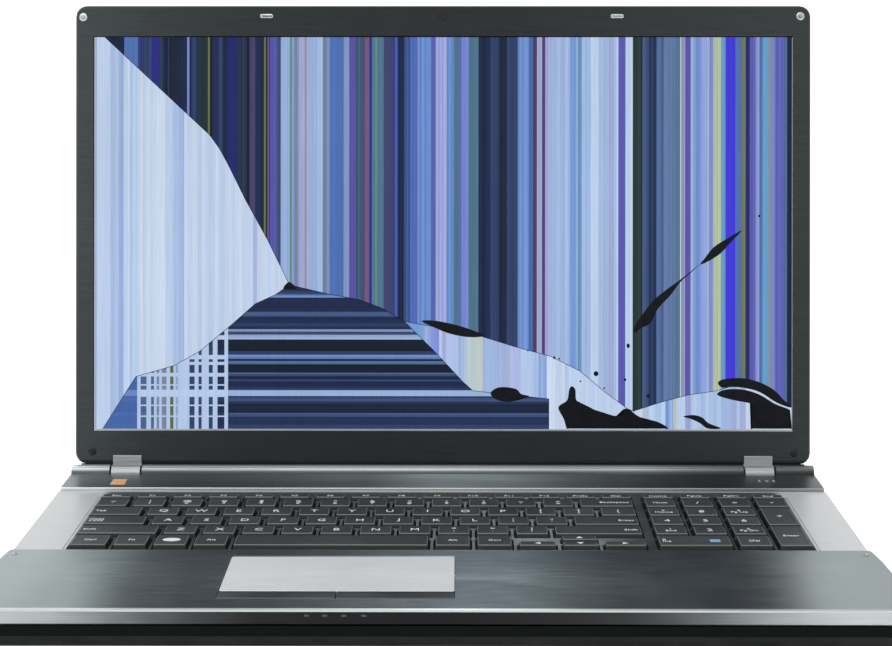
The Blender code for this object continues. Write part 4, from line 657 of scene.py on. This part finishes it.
PLAID_COLUMNS = [
    (25.2, 3.2, "steel"), (30.9, 1.6, "steel"), (34.0, 1.4, "dove"), (36.8, 2.6, "dove"), (41.4, 1.8, "olive"),
    (44.6, 1.0, "mist"), (52.0, 2.8, "slate"), (57.0, 1.7, "slate"), (62.6, 2.2, "slate"), (67.4, 3.8, "navy"),
]
LIGHT_ROWS = [(6.4, 7.2), (12.4, 13.2), (17.4, 21.4), (23.6, 24.4), (28.6, 30.6), (35.0, 36.6), (38.1, 40.4), (48.9, 51.2), (53.2, 54.4)]
WIDE_END = 249.3


class Fields:
    """A row of fields with fine seeded lines in them, read by position."""

    def __init__(self, fields, end, lines=(), finest=0.45, widest=1.5):
        self.starts = []
        self.colours = []
        limits = [start for start, _, _ in fields] + [end]
        for (start, main, other), stop in zip(fields, limits[1:]):
            position = start
            while position < stop:
                share = rng.random() ** 1.6 * 0.75
                tone = 0.93 + 0.14 * rng.random()
                colour = mixed(linear(INKS[main]), linear(INKS[other]), share)
                self.starts.append(position)
                self.colours.append(tuple(part * tone for part in colour))
                position += finest + (widest - finest) * rng.random()
        for start, width, name in lines:
            self.overlay(start, width, name)

    def overlay(self, start, width, name):
        after = self.at(start + width)
        keep = [(s, c) for s, c in zip(self.starts, self.colours) if not start <= s < start + width]
        keep += [(start, linear(INKS[name])), (start + width, after)]
        keep.sort(key=lambda pair: pair[0])
        self.starts = [pair[0] for pair in keep]
        self.colours = [pair[1] for pair in keep]

    def at(self, position):
        found = self.colours[0]
        for start, colour in zip(self.starts, self.colours):
            if start > position:
                break
            found = colour
        return found


MAIN = Fields(MAIN_FIELDS, 386, MAIN_LINES)
LEFT = Fields(LEFT_FIELDS, 112, finest=0.8, widest=2.6)
STRIP = Fields(STRIP_FIELDS, 300, finest=0.7, widest=2.2)
CORNER = Fields(CORNER_FIELDS, 386, finest=0.8, widest=2.4)
ROWS = Fields(ROW_FIELDS, 82, finest=0.6, widest=1.6)


def lower_colour(x, z):
    """Lower shard: a blue tip, a pale plaid, then dark rows with light lines."""
    rows = ROWS.at(z)
    if x < PLAID_START:
        return mixed(rows, linear(INKS["azure"]), 0.72)
    if x > PLAID_END:
        return rows
    for start, width, name in PLAID_COLUMNS:
        if start <= x < start + width and not any(low <= z < high for low, high in LIGHT_ROWS):
            return mixed(linear(INKS[name]), rows, 0.25)
    return mixed(linear(INKS["pale"]), rows, 0.06)


SHARDS = {
    "glass_left_shard": (lambda x, z: LEFT.at(x), LEFT.starts, []),
    "glass_lower_shard": (
        lower_colour,
        [PLAID_START, PLAID_END] + [edge for s, w, _ in PLAID_COLUMNS for edge in (s, s + w)],
        ROWS.starts + [edge for pair in LIGHT_ROWS for edge in pair],
    ),
    "glass_main_shard": (lambda x, z: MAIN.at(x), MAIN.starts, []),
    "glass_strip_shard": (lambda x, z: STRIP.at(x), STRIP.starts, []),
    "glass_corner_shard": (lambda x, z: CORNER.at(x), CORNER.starts, []),
}
GLASS_MARGIN = 0.003
GLASS_SIDE_INK = "depth"


def lid_points(node):
    return [LID_INVERSE @ vertex.co for vertex in nodes[node].data.vertices]


glass_points = [point for name in SHARDS for point in lid_points(name)]
PICTURE_LEFT = min(point.x for point in glass_points) + GLASS_MARGIN
PICTURE_BASE = min(point.z for point in glass_points) + GLASS_MARGIN
PICTURE_TOP = max(point.z for point in glass_points) - GLASS_MARGIN
PICTURE_RIGHT = max(point.x for point in glass_points) - GLASS_MARGIN
GLASS_FACE = min(point.y for point in glass_points)
BEZEL_FACE = min(point.y for point in lid_points("screen_bezel"))


def build_shards():
    """Cut each shard's mesh along its colour lines and store the colours on its face."""
    for name, (paint, across, up) in SHARDS.items():
        shape = bmesh.new()
        shape.from_mesh(nodes[name].data)
        shape.transform(LID_INVERSE)
        bmesh.ops.remove_doubles(shape, verts=shape.verts, dist=1e-6)
        bmesh.ops.dissolve_limit(shape, angle_limit=0.02, verts=shape.verts, edges=shape.edges)
        for positions, normal, corner in ((across, (1, 0, 0), PICTURE_LEFT), (up, (0, 0, 1), PICTURE_BASE)):
            for position in sorted(positions):
                spot = Vector(normal) * (corner + position * MM)
                everything = shape.verts[:] + shape.edges[:] + shape.faces[:]
                bmesh.ops.bisect_plane(shape, geom=everything, plane_co=spot, plane_no=normal, dist=1e-7)
        layer = shape.loops.layers.float_color.new("picture")
        for face in shape.faces:
            middle = face.calc_center_median()
            colour = linear(INKS[GLASS_SIDE_INK])
            if face.normal.y < -0.9:
                colour = paint((middle.x - PICTURE_LEFT) / MM, (middle.z - PICTURE_BASE) / MM)
            for loop in face.loops:
                loop[layer] = (*colour, 1.0)
        shard = make(name.replace("glass", "picture"), shape, PICTURE, "lid", True, False)
        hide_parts(name)


# Leaked liquid on the picture, outlines in millimetres from its lower left corner
BLOTS = {
    "arch_lens": [
        (179.3, 59.1), (185.3, 59.5), (192.9, 58.3), (200.6, 56.4), (207.2, 54.2), (213.7, 51.5),
        (210.5, 50.4), (202.8, 50.6), (194.0, 52.5), (186.4, 55.6),
    ],
    "low_drop": [
        (217.2, 19.7), (220.3, 22.4), (225.2, 23.0), (231.3, 21.9), (234.0, 19.2), (238.4, 18.0),
        (232.9, 16.0), (225.6, 14.9), (219.4, 16.7),
    ],
    "bottom_pool": [
        (261.7, 23.5), (263.7, 21.6), (264.4, 15.6), (270.9, 12.4), (277.2, 9.2), (284.5, 7.4), (289.4, 7.8),
        (289.8, 10.8), (293.1, 11.1), (296.4, 8.2), (301.9, 5.4), (308.4, 4.2), (314.4, 0.6), (308.0, 0.3),
        (264.0, 0.3), (259.2, 0.6), (257.3, 5.6), (254.4, 11.1), (255.6, 13.4), (259.2, 15.9), (260.3, 21.6),
    ],
    "small_pool": [
        (322.8, 7.0), (328.3, 7.8), (333.1, 6.5), (336.6, 3.4), (343.5, 0.5), (336.3, 0.4), (332.0, 3.3), (327.3, 5.5),
    ],
    "corner_lens": [
        (341.8, 25.5), (345.1, 27.5), (355.5, 28.0), (364.8, 25.7), (372.5, 21.5), (377.9, 16.0), (381.0, 13.4),
        (381.0, 12.0), (373.6, 14.8), (364.8, 20.3), (356.6, 22.6), (350.0, 23.2), (344.0, 22.9),
    ],
    "corner_pool": [
        (341.3, 19.3), (344.0, 21.3), (350.0, 22.1), (357.1, 21.5), (364.8, 18.9), (373.0, 14.0), (380.6, 11.0),
        (381.2, 9.0), (381.3, 1.0), (380.8, 0.4), (361.2, 0.4), (360.5, 1.0), (360.4, 12.6), (359.6, 14.2),
        (350.6, 15.9), (343.5, 17.8),
    ],
    "diagonal_low": [
        (295.6, 52.8), (296.8, 57.7), (300.9, 63.6), (306.4, 70.6), (313.7, 76.6), (321.0, 81.9), (326.5, 86.2),
        (332.2, 90.9), (326.9, 85.8), (321.0, 80.5), (315.8, 73.5), (308.7, 65.8), (304.9, 58.3), (300.1, 55.6),
    ],
    "diagonal_high": [
        (332.0, 90.4), (334.7, 94.0), (339.4, 99.8), (346.6, 104.4), (354.7, 109.0), (348.4, 102.1),
        (342.9, 96.2), (335.8, 91.7),
    ],
    "hub_speck": [(103.4, 77.0), (106.7, 80.6), (110.6, 77.1), (107.6, 76.4)],
}
DROPS = [
    (292.6, 45.7, 1.3), (275.0, 30.4, 1.4), (290.9, 27.1, 0.8), (303.5, 18.3, 1.1), (252.1, 39.1, 0.8),
    (254.8, 38.6, 0.6), (364.3, 116.9, 0.7), (237.6, 43.0, 0.5), (279.5, 22.5, 0.5), (266.4, 26.2, 0.5),
]
BLOT_THICKNESS = 0.00012


def blot(name, outline):
    """One smooth-edged film of liquid, lying on the glass in the gap behind the bezel."""
    shape = bmesh.new()
    spots = [(PICTURE_LEFT + x * MM, PICTURE_BASE + z * MM) for x, z in outline]
    area = sum(a[0] * b[1] - b[0] * a[1] for a, b in zip(spots, spots[1:] + spots[:1]))
    spots = spots if area > 0 else spots[::-1]
    stack(shape, spots, [(-GLASS_FACE - 0.00002, 0.0), (-GLASS_FACE + BLOT_THICKNESS, 0.0)], upright=True)
    bmesh.ops.triangulate(shape, faces=[face for face in shape.faces if len(face.verts) > 4])
    make(name, shape, BLOT, "lid", True, False)


def build_blots():
    for name, points in BLOTS.items():
        blot("blot_" + name, smooth_outline(points))
    for index, (x, z, radius) in enumerate(DROPS):
        squeeze = 0.7 + 0.3 * rng.random()
        blot("blot_drop_%d" % index, [(x + (px - x) * squeeze, pz) for px, pz in ring(x, z, radius, 14)])


# Keyboard: a rounded cap over every packed one, with its printed legend

CAP_TAPER = 0.00106
CAP_BASE = DECK_TOP - 0.0006
CAP_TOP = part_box("keyboard_plate")[1].z
CAP_CORNER = 0.0013
CAP_SIDE = [(-0.0010, 0.0), (0.0006, 0.0004), (0.0017, 0.00075), (0.0023, 0.00092)]
CAP_LIP = [(-0.00028, 0.00104), (-0.00010, 0.00120), (-0.00002, 0.00145)]
CAP_DISH = [(0.0, 0.0018), (-0.00004, 0.0024), (-0.00010, 0.0036)]
PLATE_DROP = 0.0023
STEM_HALF = 0.003
LETTER_SIZE = 0.0062
PAIR_SIZE = 0.0047
WORD_SIZE = 0.0037
LEGEND_MARGIN = 0.0016
MOVING_LEGENDS = {
    "space_bar": ("", "CENTER"), "enter_key": ("Enter", "RIGHT"), "backspace_key": ("Backspace", "RIGHT"),
    "left_shift_key": ("Shift", "LEFT"), "right_shift_key": ("Shift", "RIGHT"), "tab_key": ("Tab", "LEFT"),
    "caps_lock_key": ("Caps\nLock", "LEFT"), "numpad_zero_key": ("0\nIns", "LEFT"),
    "numpad_plus_key": ("+", "CENTER"), "numpad_enter_key": ("Enter", "CENTER"),
}
ROW_LEGENDS = [
    ["Ctrl", "Fn", "OVAL", "Alt", "Alt", "Ctrl", "LEFT", "DOWN", "UP", "RIGHT", ".\nDel"],
    list("ZXCVBNM") + ["<\n,", ">\n.", "?\n/", "1\nEnd", "2", "3\nPg Dn"],
    list("ASDFGHJKL") + [":\n;", "\"\n'", "4", "5", "6"],
    list("QWERTYUIOP") + ["{\n[", "}\n]", "|\n\\", "7\nHome", "8", "9\nPg Up"],
    ["~\n`", "!\n1", "@\n2", "#\n3", "$\n4", "%\n5", "^\n6", "&\n7", "*\n8", "(\n9", ")\n0", "_\n-", "+\n=",
     "Num", "/", "*", "-"],
    ["Esc"] + ["F%d" % number for number in range(1, 13)] + ["PrtSc", "Del", "Home", "PgUp", "PgDn", "End"],
]
ROW_EDGES = [0.1014, 0.1229, 0.1412, 0.1595, 0.1778, 0.1961, 0.2056]


def cap_tops():
    """Plan limits of the flat top of each fused cap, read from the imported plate."""
    shape = bmesh.new()
    shape.from_mesh(nodes["keyboard_plate"].data)
    bmesh.ops.remove_doubles(shape, verts=shape.verts, dist=1e-6)
    top = max(vertex.co.z for vertex in shape.verts)
    low = [face for face in shape.faces if face.calc_center_median().z < top - 0.0001]
    bmesh.ops.delete(shape, geom=low, context="FACES")
    waiting = set(shape.verts)
    tops = []
    while waiting:
        group = [waiting.pop()]
        for vertex in group:
            for edge in vertex.link_edges:
                other = edge.other_vert(vertex)
                if other in waiting:
                    waiting.remove(other)
                    group.append(other)
        if len(group) > 3:
            xs = [vertex.co.x for vertex in group]
            ys = [vertex.co.y for vertex in group]
            tops.append((min(xs), max(xs), min(ys), max(ys)))
    shape.free()
    return tops


def add_cap(shape, limits):
    """A tapered cap with a soft lip and a shallow dish."""
    left, right, front, rear = limits
    levels = [(CAP_BASE + height, distance) for height, distance in CAP_SIDE]
    levels += [(CAP_TOP + height, distance) for height, distance in CAP_LIP]
    room = min(right - left, rear - front) / 2 + CAP_TAPER
    levels += [(CAP_TOP + height, distance) for height, distance in CAP_DISH if distance < room * 0.7]
    rings = []
    for height, distance in levels:
        grow = CAP_TAPER - distance
        radius = max(CAP_CORNER - distance * 0.55, 0.0003)
        outline = rounded(left - grow, right + grow, front - grow, rear + grow, radius)
        rings.append([shape.verts.new((x, y, height)) for x, y in outline])
    bridge(shape, rings)


def letters(text, size, side):
    """Mesh of a printed text, drawn from a font curve."""
    curve = bpy.data.curves.new("legend", "FONT")
    curve.body = text
    curve.size = size
    curve.align_x = side
    curve.space_line = 0.8
    curve.resolution_u = 2
    curve.extrude = 0.00006
    source = bpy.data.objects.new("legend", curve)
    bpy.context.scene.collection.objects.link(source)
    bpy.context.view_layer.update()
    mesh = bpy.data.meshes.new_from_object(source)
    bpy.data.objects.remove(source)
    return mesh


def arrow(turn, size):
    """A small printed triangle that points along a quarter turn."""
    shape = bmesh.new()
    points = [(-0.5, -0.35), (0.5, -0.35), (0.0, 0.45)]
    angle = math.radians(turn)
    spots = [(x * math.cos(angle) - y * math.sin(angle), x * math.sin(angle) + y * math.cos(angle)) for x, y in points]
    stack(shape, [(x * size, y * size) for x, y in spots], [(-0.00006, 0.0), (0.00006, 0.0)])
    return shape


ARROWS = {"LEFT": 90, "UP": 0, "DOWN": 180, "RIGHT": -90}


def add_legend(shape, text, limits, side="CENTER"):
    """Print a legend on a cap's top, at its middle or towards one end."""
    if not text:
        return
    left, right, front, rear = limits
    mark = bmesh.new()
    if text in ARROWS:
        append(mark, arrow(ARROWS[text], 0.0034))
    elif text == "OVAL":
        stack(mark, [(x * 1.5, y) for x, y in ring(0.0, 0.0, 0.0029, 28)], [(-0.00006, 0.0), (0.00006, 0.0)])
    else:
        lines = text.split("\n")
        size = WORD_SIZE if max(len(line) for line in lines) > 1 else PAIR_SIZE if len(lines) > 1 else LETTER_SIZE
        mesh = letters(text, min(size, (rear - front) * 0.9 / len(lines) + 0.0002), side)
        mark.from_mesh(mesh)
        bpy.data.meshes.remove(mesh)
    xs = [vertex.co.x for vertex in mark.verts]
    ys = [vertex.co.y for vertex in mark.verts]
    places = {
        "LEFT": left + LEGEND_MARGIN - min(xs), "RIGHT": right - LEGEND_MARGIN - max(xs),
        "CENTER": (left + right - min(xs) - max(xs)) / 2,
    }
    spot = (places[side], (front + rear - min(ys) - max(ys)) / 2, CAP_TOP - 0.00004)
    bmesh.ops.translate(mark, vec=spot, verts=mark.verts)
    append(shape, mark)


def append(shape, other):
    """Move another bmesh's bodies into shape."""
    mesh = bpy.data.meshes.new("part")
    other.to_mesh(mesh)
    other.free()
    shape.from_mesh(mesh)
    bpy.data.meshes.remove(mesh)


def build_keyboard():
    tops = cap_tops()
    plate = bmesh.new()
    low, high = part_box("keyboard_plate")
    outline = rounded(low.x, high.x, low.y, high.y, CAP_CORNER)
    stack(plate, outline, [(low.z, 0.0), (CAP_BASE - PLATE_DROP, 0.0)])
    marks = bmesh.new()
    for limits in tops:
        add_cap(plate, limits)
    for row, legends in enumerate(ROW_LEGENDS):
        start, end = (FRONT + edge for edge in ROW_EDGES[row:row + 2])
        found = [limits for limits in tops if start <= (limits[2] + limits[3]) / 2 < end]
        found.sort(key=lambda limits: (round(limits[0], 3), limits[2]))
        if len(found) != len(legends):
            raise ValueError("row %d has %d caps for %d legends" % (row, len(found), len(legends)))
        for limits, text in zip(found, legends):
            add_legend(marks, text, limits)
    caps = make("keycaps", plate, KEYS, "base")
    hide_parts("keyboard_plate")
    make("key_legends", marks, WHITE_INK, "base", smooth=False)
    for name, (text, side) in MOVING_LEGENDS.items():
        build_moving_key(name, text, side)


def build_moving_key(name, text, side):
    low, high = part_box(name)
    shape = bmesh.new()
    top_limits = (low.x + CAP_TAPER, high.x - CAP_TAPER, low.y + CAP_TAPER, high.y - CAP_TAPER)
    add_cap(shape, top_limits)
    middle = ((low.x + high.x) / 2, (low.y + high.y) / 2)
    stem = rounded(middle[0] - STEM_HALF, middle[0] + STEM_HALF, middle[1] - STEM_HALF, middle[1] + STEM_HALF, 0.0008, 2)
    stack(shape, stem, [(low.z, 0.0), (CAP_BASE, 0.0)])
    cap = make(name + "_cap", shape, KEYS, name)
    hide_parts(name)
    if text:
        marks = bmesh.new()
        add_legend(marks, text, top_limits, side)
        make(name + "_legend", marks, WHITE_INK, name, smooth=False)
    if name == "numpad_zero_key":
        marks = bmesh.new()
        outline = rounded(middle[0] + 0.0072, middle[0] + 0.0122, middle[1] - 0.0030, middle[1] + 0.0016, 0.0006)
        stack(marks, outline, [(CAP_TOP - 0.0001, 0.0), (CAP_TOP + 0.00002, 0.0)])
        make("numpad_zero_blue_mark", marks, BLUE_INK, name, smooth=False)


# Small trim


def dome(name, x, z, radius, look):
    """A shallow domed disc on the bezel, over a screw."""
    shape = bmesh.new()
    levels = [(0.0, 0.0), (0.0002, 0.0), (0.00045, radius * 0.16), (0.00055, radius * 0.5), (0.00057, radius * 0.85)]
    stack(shape, ring(x, z, radius, 32), [(-BEZEL_FACE + height, distance) for height, distance in levels], True)
    make(name, shape, look, "lid", True)


def bar_on_bezel(name, left, right, low, high, look, proud=0.0005):
    shape = bmesh.new()
    radius = min(right - left, high - low) * 0.45
    outline = rounded(left, right, low, high, radius, 4)
    levels = [(0.0, 0.0), (proud * 0.6, 0.0), (proud * 0.9, 0.00025), (proud, 0.0006)]
    stack(shape, outline, [(-BEZEL_FACE + height, distance) for height, distance in levels], True)
    make(name, shape, look, "lid", True)


LID_BOTTOM = min(point.z for point in lid_points("lid_back_cover"))
LIP_HEIGHT = 0.0010
LIP_WIDTH = 0.0004

# Black strips under the lid's lower edge, clear of the hinge covers: painted shade filling the gap above the ridge
GAP_SHADE_LOW = LID_BOTTOM - 0.0008
GAP_SHADE_FRONT = 0.00315
GAP_SHADE_BACK = 0.0042
GAP_SHADE_SPANS = [(-0.1980, -0.1804), (-0.1648, 0.1648), (0.1804, 0.1980)]


def build_bezel_trim():
    discs = {
        "upper_left_disc": (-0.1970, 0.2445, NICKEL), "upper_right_disc": (0.1955, 0.2451, NICKEL),
        "lower_left_disc": (-0.1918, 0.0065, BLACK), "lower_right_disc": (0.1924, 0.0063, BLACK),
    }
    for name, (x, up, look) in discs.items():
        dome(name, x, LID_BOTTOM + up, 0.0022, look)
    for name, left in (("left_pad", -0.1001), ("right_pad", 0.0918)):
        bar_on_bezel(name, left, left + 0.0071, LID_BOTTOM + 0.2440, LID_BOTTOM + 0.2462, NICKEL)
    low, high = LID_BOTTOM + 0.2458 - 0.0026, LID_BOTTOM + 0.2458 + 0.0026
    shape = bmesh.new()
    levels = [(0.0, 0.0), (0.0003, 0.0001), (0.00035, 0.0006), (0.0001, 0.0009)]
    stack(shape, ring(0.0, (low + high) / 2, 0.0026, 32), [(-BEZEL_FACE + h, d) for h, d in levels], True)
    make("webcam_ring", shape, BLACK, "lid", True)
    # Pale silver rims along the picture's lower and right edges: a painted highlight where the bezel's inner edge
    # catches the light
    rim_highlights = bmesh.new()
    for left, right, low, high in (
        (PICTURE_LEFT, PICTURE_RIGHT + LIP_WIDTH, PICTURE_BASE - LIP_HEIGHT, PICTURE_BASE),
        (PICTURE_RIGHT, PICTURE_RIGHT + LIP_WIDTH, PICTURE_BASE + LIP_WIDTH, PICTURE_TOP),
    ):
        levels = [(-BEZEL_FACE - 0.0001, 0.0), (-BEZEL_FACE + 0.00006, 0.0), (-BEZEL_FACE + 0.0001, 0.0001)]
        stack(rim_highlights, rounded(left, right, low, high, 0.0002, 1), levels, True)
    make("picture_rim_highlight", rim_highlights, COVER_SILVER, "lid", True)
    # Painted shade: black strips filling the gap under the lid
    for index, (left, right) in enumerate(GAP_SHADE_SPANS):
        gap_shade = bmesh.new()
        stack(gap_shade, rounded(left, right, GAP_SHADE_LOW, LID_BOTTOM + 0.00005, 0.0003, 2), [(-GAP_SHADE_BACK, 0.0), (-GAP_SHADE_FRONT, 0.0)], True)
        make("lid_gap_shade_%d" % index, gap_shade, BLACK, "lid", True, False)


STUD_SPOTS = ((-0.1995, 0.088), (0.1995, 0.088))
RIGHT_LAMPS = [(0.1695, 0.0012, 0.0026), (0.1732, 0.0018, 0.0018), (0.1771, 0.0012, 0.0026)]
FRONT_LAMPS = [-0.0563, -0.0485, -0.0403, -0.0317]
LAMP_DEPTH = 0.237
SCREW_SPOTS = [
    (-0.185, 0.066), (0.185, 0.066), (-0.060, 0.052), (0.020, 0.040), (-0.185, 0.235), (0.185, 0.235),
    (0.120, 0.118), (-0.100, 0.130), (0.100, 0.205), (-0.005, 0.176),
]


def build_base_trim():
    for index, (x, depth) in enumerate(STUD_SPOTS):
        shape = bmesh.new()
        levels = [(-0.0001, 0.0), (0.0002, 0.0), (0.0004, 0.0002), (0.00048, 0.0007)]
        stack(shape, ring(x, FRONT + depth, 0.0013, 24), [(PALM_TOP + height, distance) for height, distance in levels])
        make("palm_stud_%d" % index, shape, NICKEL, "base")
    marks = bmesh.new()
    for x, width, length in RIGHT_LAMPS:
        middle = FRONT + LAMP_DEPTH
        outline = rounded(x, x + width, middle - length, middle + length, 0.0004, 2)
        stack(marks, outline, [(PALM_TOP - 0.0001, 0.0), (PALM_TOP + 0.00004, 0.0)])
    make("strip_marks", marks, LAMP_INK, "base", smooth=False)
    marks = bmesh.new()
    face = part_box("palm_rest")[0].y
    for x in FRONT_LAMPS:
        low = PALM_TOP - 0.0034
        outline = rounded(x - 0.0011, x + 0.0011, low, low + 0.0009, 0.0003, 2)
        stack(marks, outline, [(-face - 0.0001, 0.0), (-face + 0.00003, 0.0)], True)
    make("front_marks", marks, FAINT_INK, "base", smooth=False)
    for index, (x, depth) in enumerate(SCREW_SPOTS):
        build_screw(index, x, FRONT + depth)


def build_screw(index, x, y):
    """A countersunk screw head under the case, with a cross recess."""
    shape = bmesh.new()
    outline = ring(x, y, 0.0024, 24)
    levels = [(CASE_FLOOR + 0.0004, 0.0), (CASE_FLOOR - 0.0001, 0.0), (CASE_FLOOR - 0.0003, 0.0004)]
    stack(shape, outline, levels)
    make("case_screw_%d" % index, shape, STEEL, "base")
    cross = bmesh.new()
    for wide, deep in ((0.0014, 0.0003), (0.0003, 0.0014)):
        slot = rounded(x - wide, x + wide, y - deep, y + deep, 0.0001, 1)
        stack(cross, slot, [(CASE_FLOOR - 0.00028, 0.0), (CASE_FLOOR - 0.00034, 0.0)])
    make("case_screw_cross_%d" % index, cross, BLACK, "base", smooth=False)


# Studio


def build_camera():
    data = bpy.data.cameras.new("photo_camera")
    data.lens = CAMERA_LENS
    data.clip_start = 0.05
    data.clip_end = 50.0
    camera = bpy.data.objects.new("photo_camera", data)
    camera.location = CAMERA_PLACE
    camera.rotation_euler = (math.radians(90 - CAMERA_PITCH), 0.0, math.radians(CAMERA_YAW))
    bpy.context.scene.collection.objects.link(camera)
    bpy.context.scene.camera = camera


def build_studio():
    scene = bpy.context.scene
    scene.view_settings.view_transform = "Standard"
    world = bpy.data.worlds.new("studio")
    scene.world = world
    world.use_nodes = True
    tree = world.node_tree
    tree.nodes.clear()
    link = tree.links.new
    output = tree.nodes.new("ShaderNodeOutputWorld")
    lit = tree.nodes.new("ShaderNodeBackground")
    seen = tree.nodes.new("ShaderNodeBackground")
    choice = tree.nodes.new("ShaderNodeMixShader")
    path = tree.nodes.new("ShaderNodeLightPath")
    coords = tree.nodes.new("ShaderNodeTexCoord")
    parts = tree.nodes.new("ShaderNodeSeparateXYZ")
    shade = tree.nodes.new("ShaderNodeMapRange")
    shade.interpolation_type = "SMOOTHSTEP"
    for name, value in (("From Min", -0.995), ("From Max", -0.9), ("To Min", 0.12), ("To Max", 0.95)):
        shade.inputs[name].default_value = value
    link(coords.outputs["Generated"], parts.inputs["Vector"])
    link(parts.outputs["Y"], shade.inputs["Value"])
    link(shade.outputs["Result"], lit.inputs["Strength"])
    lit.inputs["Color"].default_value = (1.0, 1.0, 1.0, 1.0)
    seen.inputs["Color"].default_value = (1.0, 1.0, 1.0, 1.0)
    link(path.outputs["Is Camera Ray"], choice.inputs["Fac"])
    link(lit.outputs["Background"], choice.inputs[1])
    link(seen.outputs["Background"], choice.inputs[2])
    link(choice.outputs["Shader"], output.inputs["Surface"])
    lamp = bpy.data.lights.new("soft_key", "AREA")
    lamp.energy = 9.0
    lamp.size = 1.4
    key = bpy.data.objects.new("soft_key", lamp)
    key.location = (-0.5, -0.5, 1.5)
    key.rotation_euler = (math.radians(22), math.radians(-18), 0.0)
    scene.collection.objects.link(key)


def build_floor():
    shape = bmesh.new()
    stack(shape, rounded(-20.0, 20.0, -6.0, 40.0, 1.0, 4), [(-0.02, 0.0), (0.0, 0.0)])
    mesh = bpy.data.meshes.new("floor")
    shape.to_mesh(mesh)
    shape.free()
    look = Look("floor_paper", "#fbfbfb", 0.0, 0.9)
    look.colour(look.blend(look.noise((3.0, 3.0, 3.0), 2.0), "#fafafa", "#fdfdfd"))
    look.shader.inputs["Emission Color"].default_value = (1.0, 1.0, 1.0, 1.0)
    look.shader.inputs["Emission Strength"].default_value = 0.35
    mesh.materials.append(look.material)
    floor = bpy.data.objects.new("floor", mesh)
    bpy.context.scene.collection.objects.link(floor)


build_camera()
paint_nodes()
build_shards()
build_blots()
build_keyboard()
build_bezel_trim()
build_base_trim()
build_studio()
build_floor()
